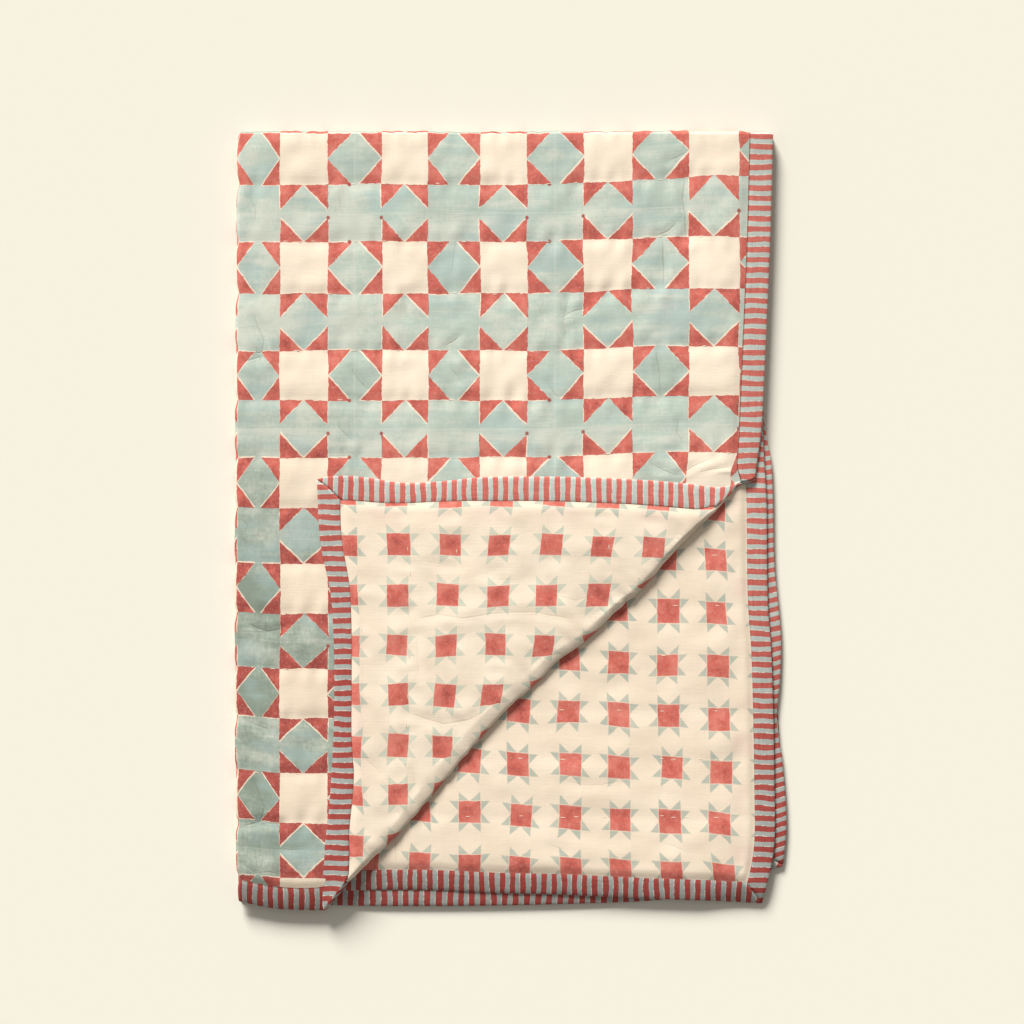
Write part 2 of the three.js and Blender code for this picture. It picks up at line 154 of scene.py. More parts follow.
secondRows = [20.0, -40.0, -98.3, -155.8, -219.0, -274.3, -341.0, -398.0]


# Smooth curve through a table: cubic pieces whose slopes follow the neighbouring rows.
def curveThrough(table, place):
    keys, values = np.array(table, float).T
    before = np.maximum(np.arange(len(keys)) - 1, 0)
    after = np.minimum(np.arange(len(keys)) + 1, len(keys) - 1)
    slopes = (values[after] - values[before]) / (keys[after] - keys[before])
    n = np.clip(np.searchsorted(keys, place, side="right") - 1, 0, len(keys) - 2)
    span = keys[n + 1] - keys[n]
    f = np.clip((place - keys[n]) / span, 0, 1)
    bend = f * (1 - f) * span * ((1 - f) * slopes[n] - f * slopes[n + 1])
    return values[n] + (values[n + 1] - values[n]) * f * f * (3 - 2 * f) + bend


def lerp(a, b, f):
    return a + (b - a) * f


def joined(*arrays):
    return np.concatenate([np.ravel(array) for array in arrays])


# From 0 at low to 1 at high, level at both ends: 3 f^2 - 2 f^3.
def smooth(low, high, value):
    f = np.clip((value - low) / (high - low), 0, 1)
    return f * f * (3 - 2 * f)


# Uneven ground: a sum of cosine waves in seeded directions, about 1 high. spread narrows their directions.
def waves(x, y, length, seed, spread=math.pi, count=26, shortest=0.65, longest=1.5):
    draw = np.random.default_rng(seed)
    total = np.zeros(np.broadcast(x, y).shape)
    turns, lengths = draw.uniform(-spread, spread, count), length * draw.uniform(shortest, longest, count)
    for turn, own, phase in zip(turns, lengths, draw.uniform(0, 2 * math.pi, count)):
        total += np.cos(2 * math.pi / own * (x * math.cos(turn) + y * math.sin(turn)) + phase)
    return total / math.sqrt(count / 2)


# How far round a fold: 0 before it, 1 past it, (1 - cos) / 2 between.
def foldShare(turn):
    return (1 - np.cos(turn)) / 2


# Between the values of the four layers, by the shares of the way round the side fold and the end fold.
def layerMix(values, inner, under):
    upper = lerp(values["first"], values["second"], inner)
    return lerp(upper, lerp(values["fourth"], values["third"], inner), under)


# A bound edge's hang: a parabola over its reach, from the side and from the end. The fourth root of their
# fourth powers' sum follows the larger one, without a step where they change over.
def hangAt(sideDroop, endDroop, sideDepth, endDepth):
    side = sideDroop * np.clip(1 - sideDepth / folded["sideReach"], 0, 1) ** 2
    end = endDroop * np.clip(1 - endDepth / folded["endReach"], 0, 1) ** 2
    return (side ** 4 + end ** 4) ** 0.25


def firstHang(sideDepth, endDepth):
    return hangAt(folded["sideDroop"]["first"], folded["endDroop"]["first"], sideDepth, endDepth)


# 1 on a row of stitches, falling off to both sides like a bell.
def stitchedRow(y, width, rows):
    nearest = np.abs(np.asarray(y)[..., None] - np.array(rows)).min(-1)
    return np.exp(-(nearest / width) ** 2)


# Middle of the cloth and the way its printed face looks: layers joined by half circles round the side fold
# and by half ellipses round the end fold. turn and endTurn are the angles round them, across and down the
# shares of a layer's width and length.
def foldedSheet(turn, across, endTurn, down):
    inner, under = foldShare(turn), foldShare(endTurn)
    sides = {name: curveThrough(table, down) for name, table in freeSide.items()}
    ends = {name: curveThrough(table, across) for name, table in freeEnd.items()}
    rise = layerPitch * (1 + np.cos(turn) / 2)
    endFold = folded["endFoldY"] - folded["endInset"] * inner
    flat = folded["endFlat"]
    y = lerp(endFold, layerMix(ends, inner, under), down) + flat * rise * np.sin(endTurn)
    drawnIn = stitchedRow(y, folded["scallopReach"], checkLines["rows"]) * np.cos(endTurn / 2)
    foldX = curveThrough(sideFold, down) + folded["scallop"] * np.sin(turn) * drawnIn
    x = lerp(foldX, layerMix(sides, inner, under), across) - layerPitch / 2 * np.sin(turn)
    sideDepth, endDepth = (1 - across) * flatWidth, (1 - down) * flatLength
    droops = [layerMix(folded[name], inner, under) for name in ("sideDroop", "endDroop")]
    corner = inner * (1 - under) * smooth(*folded["cornerFrom"], across)
    hang = folded["cornerHang"] * corner * np.clip(1 - endDepth / folded["cornerReach"], 0, 1) ** 2
    z = middleZ + rise * np.cos(endTurn) - (hangAt(*droops, sideDepth, endDepth) + hang)
    point = np.stack(np.broadcast_arrays(x, y, z), -1)
    steep = np.hypot(np.sin(endTurn), flat * np.cos(endTurn))
    level = np.cos(turn) / steep
    looks = (-np.sin(turn), level * np.sin(endTurn), level * flat * np.cos(endTurn))
    normal = np.stack([np.broadcast_to(part, point.shape[:-1]) for part in looks], -1)
    return point, normal


# A place on the first layer, measured to its rows, which run up towards the free side.
def levelRow(x, y):
    rise = checkLines["rise"] * smooth(*checkLines["riseX"], x)
    for name in ("foldRise", "cornerRise"):
        atSide, atEnd = smooth(*checkLines[name + "X"], x), smooth(*checkLines[name + "Y"], y)
        rise = rise + checkLines[name] * atSide * atEnd
    return y - rise


# Outer line of the bend in plan: a straight line that bows in.
def bendLine(along):
    foot, side = np.array(folded["bendFoot"]), np.array(folded["bendSide"])
    run = side - foot
    inward = np.array([-run[1], run[0]]) / np.hypot(*run)
    along = np.asarray(along, float)[..., None]
    return foot + run * along + inward * curveThrough(bendBow, along)


# Where the cloth starts to bend, a reach inside that line. The first layer comes to it at other places than
# the turned corner leaves it: over goes from 0 to 1 between.
def bendStart(share, over):
    step = 0.02
    along = lerp(curveThrough(bendPlace, share), curveThrough(turnedPlace, share), over)
    run = bendLine(np.minimum(1, along + step)) - bendLine(np.maximum(0, along - step))
    outward = np.stack([run[..., 1], -run[..., 0]], -1)
    outward /= np.linalg.norm(outward, axis=-1, keepdims=True)
    reach = curveThrough(bendReach, along)
    plan = bendLine(along) - outward * (reach + folded["edgeHalf"])[..., None]
    return plan, outward, reach


# Shares of the first layer's width and length at i and p, counted in cells in the corner.
def cornerShares(i, p):
    return (lead + i * cell) / flatWidth, 1 - p * cell / flatLength


# 1 on the corner's diagonal, falling off to both sides like a bell.
def besideBend(i, p):
    return np.exp(-((p - i) * cell / folded["thinnedReach"]) ** 2)


# The first layer beside the bend is drawn to the bend's own line, less and less away from it.
def drawnSheet(i, p):
    across, down = cornerShares(i, p)
    point, normal = foldedSheet(0.0, across, 0.0, down)
    along = np.clip((i + p) / 2 / cornerCells, 0, 1)
    reach = lerp(folded["drawnEnds"], folded["drawnMiddle"], np.sin(math.pi * along))
    pull = np.exp(-((p - i) / reach) ** 2)
    across, down = cornerShares(along * cornerCells, along * cornerCells)
    onBend, _ = foldedSheet(0.0, across, 0.0, down)
    plan, _, _ = bendStart(along, 0.0)
    point[..., :2] += pull[..., None] * (plan - onBend[..., :2])
    point[..., 2] -= curveThrough(bendSink, along) * besideBend(i, p)
    return point, normal


# Round the bend at a place m (in cells) of the corner's diagonal, the printed face inside: powers of sine and
# cosine, a long slope above the edge and a short one below it.
def bentSheet(m, angle):
    plan, outward, reach = bendStart(m / cornerCells, foldShare(angle) ** folded["bendShift"])
    out, up = np.abs(np.sin(angle)), np.cos(angle)
    power = folded["bendPower"]
    whole = 2 * curveThrough(bendHeight, m / cornerCells)
    edge = folded["edgeShare"] * whole
    height = np.where(up > 0, edge, whole - edge)
    hang = firstHang((cornerCells - m) * cell, m * cell) + curveThrough(bendSink, m / cornerCells)
    z = firstZ - hang + edge - height * np.sign(up) * np.abs(up) ** power
    flat = plan + outward * (reach * out ** power)[..., None]
    point = np.concatenate([flat, z[..., None]], -1)
    looks = np.stack([height * out ** (2 - power), reach * np.sign(up) * np.abs(up) ** (2 - power)], -1)
    looks /= np.linalg.norm(looks, axis=-1, keepdims=True)
    normal = np.concatenate([-outward * looks[..., :1], looks[..., 1:]], -1)
    return point, normal


# Length along the cloth from the start of the bend, close enough for the print.
def bentLength(m, angle):
    span = (curveThrough(bendReach, m / cornerCells) + curveThrough(bendHeight, m / cornerCells)) / 2
    return span * angle


# Share of the way from one corner of the turned triangle to another, along the side between them.
def sideShare(near, far):
    return np.clip(far / np.maximum(near + far, 1e-6), 0, 1)


# The turned corner: a triangle between the bend and two free edges that have their own lines. It sinks from
# the bend's height to a layer's height by (1 + c) e^-c, c counted in settling lengths.
def turnedSheet(i, p):
    tip, side = (i - p) / cornerCells, p / cornerCells
    foot = 1 - tip - side
    along = sideShare(foot, side)
    sideEnd, footEnd = bendStart(np.array(1.0), 1.0)[0], bendStart(np.array(0.0), 1.0)[0]
    plan, _, _ = bendStart(along, 1.0)
    bow = plan - lerp(footEnd, sideEnd, along[..., None])
    corners = ((tip, np.array(folded["turnedTip"])), (side, sideEnd), (foot, footEnd))
    flat = sum(share[..., None] * place for share, place in corners) + bow * ((1 - tip) ** 2)[..., None]
    flat[..., 1] -= (1 - foot) ** 2 * curveThrough(turnedTop, sideShare(tip, side))
    flat[..., 0] += (1 - side) ** 2 * curveThrough(turnedSide, sideShare(tip, foot))
    clear = np.maximum(tip, 0) * cornerCells * cell / math.sqrt(2)
    settled = (1 + clear / folded["settle"]) * np.exp(-clear / folded["settle"])
    raised = 2 * curveThrough(bendHeight, along) - curveThrough(bendSink, along)
    lift = lerp(layerPitch, raised, settled)
    depths = (cornerCells - i) * cell, p * cell
    ownHang = hangAt(folded["turnedDroop"], folded["turnedDroop"], *depths)
    hang = lerp(ownHang, firstHang(*depths), np.exp(-clear / folded["turnedDroopReach"]))
    point = np.concatenate([flat, (firstZ + lift - hang)[..., None]], -1)
    normal = np.broadcast_to(np.array([0.0, 0.0, -1.0]), point.shape).copy()
    return point, normal


# Main creases: width, depth and the points that a line is drawn through.
creases = {
    "first": [
        (4.5, 1.3, [(199, 392), (197, 370), (200, 348), (201, 320)]),
        (4.5, 1.3, [(173, 322), (176, 295), (174, 268)]),
        (4.5, 1.0, [(166, 198), (171, 165), (172, 138)]),
        (4.0, 0.9, [(196, 207), (204, 192)]),
        (4.5, 0.8, [(193, 116), (191, 100), (198, 86)]),
        (5.0, 0.7, [(196, 50), (209, 58), (222, 66), (231, 71)]),
        (5.0, 0.5, [(212, 46), (234, 51), (254, 60)]),
        (4.5, 0.8, [(160, 64), (174, 56), (188, 47)]),
        (4.5, 1.0, [(-296, 235), (-284, 205), (-289, 178)]),
        (4.5, 0.9, [(-310, 182), (-282, 190)]),
        (5.0, 1.1, [(-304, -118), (-280, -128), (-262, -124)]),
        (4.5, 1.1, [(-300, -232), (-276, -242)]),
        (4.5, 1.1, [(-296, -300), (-284, -330), (-290, -352)]),
        (5.0, 1.2, [(-310, -352), (-286, -346), (-262, -350)]),
        (4.5, 0.7, [(-311, -394), (-294, -405), (-277, -404), (-266, -408)]),
        (4.0, 0.6, [(-289, -357), (-289, -372), (-285, -387), (-287, -401)]),
        (4.0, 0.5, [(-268, -377), (-252, -379), (-236, -378)]),
        (3.5, 0.8, [(-289, -16), (-283, -19), (-278, -25)]),
        (3.5, 0.7, [(-275, 7), (-267, 0)]),
        (3.5, 0.8, [(-312, 3), (-305, -4), (-301, -13)]),
        (4.0, 0.9, [(30, 250), (36, 232)]),
        (4.0, 0.8, [(60, 236), (90, 246)]),
        (4.5, 0.8, [(66, 256), (60, 232), (63, 206)]),
        (4.0, 0.9, [(166, 327), (180, 332), (191, 343)]),
        (4.0, 0.7, [(179, 413), (191, 417), (204, 424)]),
        (4.0, 0.7, [(-63, 324), (-66, 305), (-68, 284)]),
        (4.0, 0.8, [(-76, 200), (-66, 206), (-57, 216)]),
        (4.0, 0.6, [(-126, 262), (-122, 246), (-121, 230)]),
        (4.0, 0.8, [(-184, 175), (-176, 161), (-163, 149)]),
        (3.5, 0.7, [(-70, 175), (-63, 167), (-57, 158)]),
        (3.5, 0.8, [(42, 159), (47, 149), (55, 139)]),
        (4.0, 0.8, [(-202, 118), (-195, 104), (-184, 91)]),
        (4.0, 0.6, [(-198, 376), (-196, 360), (-191, 345)]),
        (4.0, 0.6, [(-300, 372), (-293, 352), (-296, 338)]),
    ],
    "turned": [
        (5.0, 0.41, [(-107, -113), (-82, -108), (-55, -112), (-13, -106), (21, -105), (70, -113)]),
        (4.5, 0.39, [(-119, -105), (-109, -133), (-106, -181)]),
        (5.5, 0.47, [(-117, -221), (-101, -227), (-78, -234), (-50, -229), (-25, -216)]),
        (4.5, 0.3, [(-112, -285), (-110, -312)]),
        (4.5, 0.33, [(-174, -268), (-150, -290)]),
        (4.5, 0.22, [(-101, -46), (-76, -52)]),
        (4.5, 0.22, [(-45, -64), (-22, -60)]),
        (6.0, 0.3, [(40, -84), (74, -92), (96, -86)]),
        (6.0, 0.25, [(78, -40), (118, -46)]),
    ],
    "second": [
        (5.0, 0.4, [(118, -184), (124, -212)]),
        (6.0, 0.35, [(60, -300), (96, -306), (128, -300)]),
        (6.0, 0.4, [(40, -372), (64, -380)]),
        (6.0, 0.4, [(178, -372), (204, -382)]),
        (5.0, 0.8, [(-136, -352), (-133, -378), (-131, -398)]),
    ],
}
creaseShape = {
    "shoulder": 0.4, "shoulderAt": 1.9, "shoulderWide": 1.1,   # height by the depth, places by the width
    "taper": (-2.0, 10.0),        # the sharp bottom fades in from a line's end
    "sharp": (13.0, 8.0),         # and fades out away from it
    "marked": 14.0,               # distances are kept up to here
}


# Distance from a line of points, the side of it (1 or -1) and a taper towards its two ends.
def besideLine(x, y, line):
    away, side, taper = np.inf, 1.0, 0.0
    lengths = np.append(0, np.cumsum(np.hypot(*np.diff(line, axis=0).T)))
    for a, b, before in zip(line[:-1], line[1:], lengths):
        length = np.hypot(*(b - a))
        way = (b - a) / length
        dx, dy = x - a[0], y - a[1]
        free = dx * way[0] + dy * way[1]
        held = np.clip(free, 0, length)
        distance = np.hypot(dx - held * way[0], dy - held * way[1])
        ends = before + free, lengths[-1] - before - free
        fades = [smooth(*creaseShape["taper"], end) for end in ends]
        closer = distance < away
        away = np.where(closer, distance, away)
        side = np.where(closer, np.sign(dx * way[1] - dy * way[0]), side)
        taper = np.where(closer, fades[0] * fades[1], taper)
    return away, side, taper


# Creases: w widths away from a line the height is a bell-shaped shoulder less a trough e^(-w^2). Beside it
# come the distance from the nearest line, with its side, and how sharp the bottom is there.
def creased(x, y, rows):
    height, sharpness = np.zeros(x.shape), np.zeros(x.shape)
    nearest = np.full(x.shape, np.inf)
    for width, depth, points in rows:
        away, side, taper = besideLine(x, y, np.array(points, float))
        past = (away / width - creaseShape["shoulderAt"]) / creaseShape["shoulderWide"]
        height += depth * (creaseShape["shoulder"] * np.exp(-past ** 2) - np.exp(-(away / width) ** 2))
        closer = away < np.abs(nearest)
        nearest = np.where(closer, away * side, nearest)
        sharpness = np.where(closer, depth * taper * smooth(*creaseShape["sharp"], away), sharpness)
    return height, np.clip(nearest, -creaseShape["marked"], creaseShape["marked"]), sharpness


relief = {
    "dip": 1.0, "dipWidth": 7.0,
    "pucker": 0.52, "puckerLength": 19.0, "puckerReach": 15.0, "puckerSpread": 0.25,
    "swell": 0.34, "swellLength": 110.0, "rumple": 0.24, "rumpleLength": 40.0,
    "shares": {"first": 1.0, "second": 0.4, "turned": 0.3},     # of the dips and puckers
    "seeds": {"first": 3, "second": 13, "turned": 23, "bend": 41},
    "inset": 16.0,                                              # it grows from a binding's seam
    "bendPucker": 0.35, "bendLength": 30.0, "bendSpread": 0.35, "bendFade": 9.0,
}


# Relief of a quilted face: dips at the stitched rows, small puckers across them and two soft unevennesses.
def quiltRelief(layer, x, y, rowX, rowY, rows):
    seed = relief["seeds"][layer]
    near = stitchedRow(rowY, relief["puckerReach"], rows)
    puckers = near * waves(rowX, rowY, relief["puckerLength"], seed, relief["puckerSpread"])
    dips = stitchedRow(rowY, relief["dipWidth"], rows)
    height = relief["shares"][layer] * (relief["pucker"] * puckers - relief["dip"] * dips)
    height += relief["swell"] * waves(x, y, relief["swellLength"], seed + 1)
    return height + relief["rumple"] * waves(x, y, relief["rumpleLength"], seed + 2)


# Puckers that run away from the bend.
def bendPuckers(x, y):
    ground = waves(x + y, x - y, relief["bendLength"], relief["seeds"]["bend"], relief["bendSpread"])
    return relief["bendPucker"] * ground


# Half the thickness by the distance from the free edges: thin in the binding, then full from its seam on.
def halfThickness(sideDepth, endDepth, pastSeam):
    grown = smooth(0, folded["rawReach"], np.minimum(sideDepth, endDepth))
    half = lerp(folded["rawEdge"], folded["pressed"], grown) / 2
    return half + (loft - folded["pressed"]) / 2 * smooth(*folded["loftGrows"], pastSeam)


bindings = {
    # width on the printed face and on the reverse
    "widths": {"binding_outer_side": (25.8, 27.3), "binding_inner_side": (29.0, 22.0),
               "binding_upper_end": (26.3, 31.0), "binding_lower_end": (29.5, 26.0)},
    # share of its width that a strip keeps along the turned corner, and on the second layer
    "outerTurned": [(0, 1), (0.08, 1), (0.135, 0.96), (0.2, 0.86), (0.27, 0.86), (0.35, 0.95), (0.43, 1.01),
                    (0.66, 1.01), (0.77, 0.99), (0.875, 0.95), (0.93, 0.9), (1, 0.88)],
    "upperTurned": [(0, 1.12), (0.155, 1.12), (0.306, 1.03), (0.4, 0.82), (0.55, 0.75), (0.8, 0.8),
                    (0.93, 0.85), (1, 0.85)],
    "upperSecond": 0.787,
    "stripePitch": 11.85,
    # unevenness of the strip's upper sides
    "puff": 0.12, "puffLength": 16.0, "puffAcross": 0.5, "puffFrom": 0.95, "firstSeed": 60,
    # depth from the cloth's edge (a share of the width) and lift from its middle, round the outside
    "faceProfile": [(1.0, 0.5), (0.975, 0.8), (0.92, 1.1), (0.75, 1.3), (0.5, 1.3), (0.28, 1.25),
                    (0.13, 1.15), (0.045, 0.9), (-0.01, 0.5)],
    "edge": (-0.6, 0.0),
    # and along the inside: the share, a depth in millimetres added to it, and the lift
    "innerProfile": [(0.0, 0.4, 0.35), (0.0, 3.0, 0.55), (0.4, 0.0, 0.7), (0.97, 0.0, 0.55)],
    # painted shade: the strips are darker towards the free ends, on the turned corner's short side and in the
    # end fold
    "shadeY": (40.0, -380.0), "turnedShade": 0.45, "turnedShadeX": (-150.0, -190.0), "turnedShadeZ": 4.0,
    "foldShadeY": (442.0, 447.0),
    # painted shadow along the strips' inner seam; the next value is how much of it shows on the reverse
    "reverseSeam": 0.35,          # how much of the printed face's seam line shows on the reverse
    # stations along each region of a strip
    "steps": {"fold": 12, "flap": 110, "firstSide": 92, "fourthSide": 150, "innerSide": 190,
              "innerEnd": 130, "firstEnd": 24, "fourthEnd": 110},
}


# Distance in from the nearest seam of a binding, on the printed face (side 0) or on the reverse (side 1).
def pastSeams(sideDepth, endDepth, inner, under, side, turned):
    widths = {name: pair[side] for name, pair in bindings["widths"].items()}
    sideSeam = np.where(inner > 0.5, widths["binding_inner_side"], widths["binding_outer_side"])
    endSeam = np.where(under > 0.5, widths["binding_lower_end"], widths["binding_upper_end"])
    leg = cornerCells * cell
    sideKept = np.where(turned, curveThrough(bindings["outerTurned"], endDepth / leg), 1)
    endKept = np.where(turned, curveThrough(bindings["upperTurned"], 1 - sideDepth / leg), 1)
    endKept = np.where((inner > 0.5) & (under < 0.5) & (side == 1), bindings["upperSecond"], endKept)
    return np.minimum(sideDepth - sideSeam * sideKept, endDepth - endSeam * endKept)


# Grid lines are close together at the bound edges and in the folds, and wide apart where nothing shows.
gridLines = {
    "innerDepths": [0, 4, 8, 12, 16, 20, 23, 25, 27, 29.5, 32, 35, 39, 44, 50, 57, 65],
    "innerFrom": 75.0, "innerCount": 46, "sideTurns": 11, "leadCount": 18,
    "topCount": 80, "endTurns": 15, "backTo": 812.0, "backCount": 22,
    "backDepths": [57, 46, 38, 33, 30, 27, 24, 18, 10, 4, 0],
}


# Angle round the side fold and share of the width for each column.
def sheetColumns():
    plain = np.linspace(gridLines["innerFrom"], flatWidth, gridLines["innerCount"])
    depths = joined(gridLines["innerDepths"], plain)
    foldTurns = np.linspace(math.pi, 0, gridLines["sideTurns"])[1:-1]
    leading = np.linspace(0, lead, gridLines["leadCount"])[:-1]
    outer = joined(leading, lead + cell / finePerCell * np.arange(cornerSteps + 1))
    turn = joined(np.full(len(depths), math.pi), foldTurns, 0 * outer)
    return turn, joined(1 - depths / flatWidth, 0 * foldTurns, outer / flatWidth)


# Angle round the end fold and share of the length for each row.
def sheetRows():
    cornerRows = np.arange(cornerSteps + 1) / finePerCell
    topRows = np.linspace(cornerCells, flatLength / cell, gridLines["topCount"])[1:]
    front = joined(cornerRows, topRows)
    foldTurns = math.pi * smooth(0, 1, np.linspace(0, 1, gridLines["endTurns"]))[1:-1]
    plain = np.linspace(0, gridLines["backTo"], gridLines["backCount"])
    back = joined(plain, flatLength - np.array(gridLines["backDepths"]))
    turn = joined(0 * front, foldTurns, np.full(len(back), math.pi))
    return turn, joined(1 - front * cell / flatLength, 0 * foldTurns, back / flatLength)


# The middle of the whole sheet on one grid: columns go from the inner free side round the side fold to the
# outer one, rows from the upper free end over the end fold to the lower one. past counts the steps beyond the
# corner's diagonal, where the sheet is turned. The bend's own strip has m along it and angle round it.
def layOut():
    g = SimpleNamespace()
    g.turn, g.across = sheetColumns()
    g.endTurn, g.down = sheetRows()
    g.columns, g.rows = len(g.turn), len(g.endTurn)
    g.start = g.columns - 1 - cornerSteps
    g.col, g.row = np.meshgrid(np.arange(g.columns), np.arange(g.rows), indexing="ij")
    g.past = np.where((g.row <= cornerSteps) & (g.col >= g.start), g.col - g.start - g.row, -1)
    turn, across, endTurn, down = g.turn[:, None], g.across[:, None], g.endTurn[None, :], g.down[None, :]
    g.inner, g.under = foldShare(turn), foldShare(endTurn)
    g.onFirst, g.turned = (turn == 0) & (endTurn == 0), g.past > 0
    g.point, g.normal = foldedSheet(turn, across, endTurn, down)
    g.flat = g.point.copy()
    g.sideDepth, g.endDepth = np.broadcast_arrays((1 - across) * flatWidth, (1 - down) * flatLength)
    g.i, g.p = np.broadcast_arrays((across * flatWidth - lead) / cell, g.endDepth / cell)
    for region, sheet in ((g.onFirst, drawnSheet), (g.turned, turnedSheet)):
        g.point[region], g.normal[region] = sheet(g.i[region], g.p[region])
    angles = np.linspace(0, math.pi, folded["bendSteps"] + 1)[1:]
    g.m, g.angle = np.meshgrid(np.arange(cornerSteps + 1) / finePerCell, angles, indexing="ij")
    g.bentPoint, g.bentNormal = bentSheet(g.m, g.angle)
    return g


# 1 under the turned corner, 0 beyond its short side.
def underTurned(x, y):
    tip, foot = folded["turnedTip"], folded["bendFoot"]
    downEdge = (tip[1] - y) / (tip[1] - foot[1])
    edgeX = lerp(tip[0], foot[0], downEdge) + curveThrough(turnedSide, np.clip(downEdge, 0, 1))
    return smooth(0, folded["coveredReach"], x - edgeX) * smooth(0, folded["coveredTop"], downEdge)


# Half the thickness of the face and of the reverse, with the relief and creases where they show. Distances
# from the creases and their sharpness come as attributes for the material.
def thicken(g):
    g.pastFace, g.pastBack = [
        pastSeams(g.sideDepth, g.endDepth, g.inner, g.under, side, g.turned) for side in (0, 1)]
    pressed = np.where(g.onFirst, 1 - folded["thinned"] * besideBend(g.i, g.p), 1)
    faceHalf, backHalf = [
        halfThickness(g.sideDepth, g.endDepth, past) * pressed for past in (g.pastFace, g.pastBack)]
    depths = (cornerCells - g.m) * cell, g.m * cell
    pastBent = [pastSeams(*depths, 0.0, 0.0, side, False) for side in (0, 1)]
    atEdge = folded["edgeInside"], 2 * folded["edgeHalf"] / loft
    bentFace, bentBack = [
        halfThickness(*depths, past) * lerp(1 - folded["thinned"], kept, np.sin(g.angle))
        for past, kept in zip(pastBent, atEdge)]

    # the first layer, where the turned corner doesn't cover it
    x, y = g.flat[..., 0], g.flat[..., 1]
    covered = g.onFirst * underTurned(x, y)
    shown = (1 - g.inner) * (1 - g.under) * ~g.turned * smooth(0, relief["inset"], g.pastFace) * (1 - covered)
    height, faceFold, faceSharp = creased(x, y, creases["first"])
    height += quiltRelief("first", x, y, x, levelRow(x, y), checkLines["rows"])
    faceHalf += shown * height - folded["covered"] * covered
    faceSharp *= shown

    # the second layer and the turned corner show their reverse
    inset = smooth(0, relief["inset"], g.pastBack)
    shown = g.inner * (1 - g.under) * inset
    height, backFold, backSharp = creased(x, y, creases["second"])
    backHalf += shown * (height + quiltRelief("second", x, y, x, y, secondRows))
    backSharp *= shown
    turnedX, turnedY = g.point[..., 0], g.point[..., 1]
    height, turnedFold, turnedSharp = creased(turnedX, turnedY, creases["turned"])
    height += quiltRelief("turned", turnedX, turnedY, x, y, checkLines["rows"])
    height += bendPuckers(turnedX, turnedY) * np.exp(-np.maximum(g.past, 0) / relief["bendFade"])
    backHalf += g.turned * inset * height
    bentPuckers = bendPuckers(g.bentPoint[..., 0], g.bentPoint[..., 1])
    bentBack += bentPuckers * smooth(0, relief["inset"], pastBent[1])

    none = np.zeros(g.m.size)
    attributes = {
        "fold": joined(faceFold, none, np.where(g.turned, turnedFold, backFold), none),
        "sharp": joined(faceSharp, none, np.where(g.turned, turnedSharp * inset, backSharp), none),
    }
    return joined(faceHalf, bentFace), joined(backHalf, bentBack), attributes


# Print coordinates, counted in checks, from a place on the opened-out face.
def checkCoordinates(flatX, flatY):
    columns, rows = np.array(checkLines["columns"]), np.array(checkLines["rows"])
    counts = np.arange(len(columns)) + checkLines["firstColumn"]
    gathered = smooth(*checkLines["gatherY"], flatY) * smooth(*checkLines["gatherX"], flatX)
    flatX = flatX + checkLines["gather"] * gathered
    flatY = levelRow(flatX, flatY)
    beyondX = np.minimum(flatX - columns[0], 0) + np.maximum(flatX - columns[-1], 0)
    beyondY = np.maximum(rows[-1] - flatY, 0) - np.maximum(flatY - rows[0], 0)
    u = np.interp(flatX, columns, counts) + beyondX * 2 / checkLines["repeatX"]
    v = np.interp(-flatY, -rows, np.arange(len(rows))) + beyondY * 2 / checkLines["repeatY"]
    return u, v


# Print coordinates, counted in stars, from a place as it is seen.
def starCoordinates(x, y, layer):
    places = starPlaces[layer]
    dx, dy = x - places["origin"][0], y - places["origin"][1]
    dy = dy + places["sag"] * smooth(*starPlaces["sagX"], x) * smooth(*starPlaces["sagY"], y)
    u = dx * (1 - places["lean"] * dy) / places["pitch"][0]
    return u, (dy + places["fall"] * dx) / places["pitch"][1]


# Print coordinates of both faces: the checks run on round both folds, the stars run on round the bend.
def printPlaces(g):
    turn, endTurn = g.turn[:, None], g.endTurn[None, :]
    x, y, shown = g.flat[..., 0], g.flat[..., 1], np.where(g.turned[..., None], g.flat, g.point)
    arc = (layerPitch + loft) / 2
    foldX, foldY = curveThrough(sideFold, g.down)[None, :], folded["endFoldY"]
    flatX = np.where(turn == 0, shown[..., 0], foldX - arc * turn - (turn == math.pi) * (x - foldX))
    rise = folded["endPrint"] * (layerPitch * (1 + np.cos(turn) / 2) + loft / 2)
    flatY = np.where(endTurn == 0, shown[..., 1], foldY + rise * endTurn + (endTurn == math.pi) * (foldY - y))
    face = checkCoordinates(flatX, flatY)
    across, down = cornerShares(g.m, g.m)
    diagonal, _ = foldedSheet(0.0, across, 0.0, down)
    bentFace = checkCoordinates(diagonal[..., 0], diagonal[..., 1])
    seen = g.point[..., 0], g.point[..., 1]
    lying, turned = [starCoordinates(*seen, layer) for layer in ("lying", "turned")]
    plan, outward, _ = bendStart(g.m / cornerCells, 1.0)
    rolled = plan + outward * (folded["bendPrint"] * bentLength(g.m, math.pi - g.angle))[..., None]
    bentBack = starCoordinates(rolled[..., 0], rolled[..., 1], "turned")
    back = [np.where(g.turned, turned[k], lying[k]) for k in (0, 1)]
    return np.stack([joined(face[k], bentFace[k], back[k], bentBack[k]) for k in (0, 1)], -1)


stains = {
    "grey": 0.8, "greyDepth": (40.0, 15.0),       # the turned corner's stars are greyer near its binding
    "lying": {"length": 62.0, "seed": 51, "patch": (0.1, 1.4)}, "lyingX": (246.0, 262.0),
    "turned": {"length": 70.0, "seed": 52, "patch": (-0.4, 1.2)}, "turnedDepth": (34.0, 4.0),
    # painted shade on the end fold: full from this sine of the turn on
    "paintedFoldShade": 0.7,
}
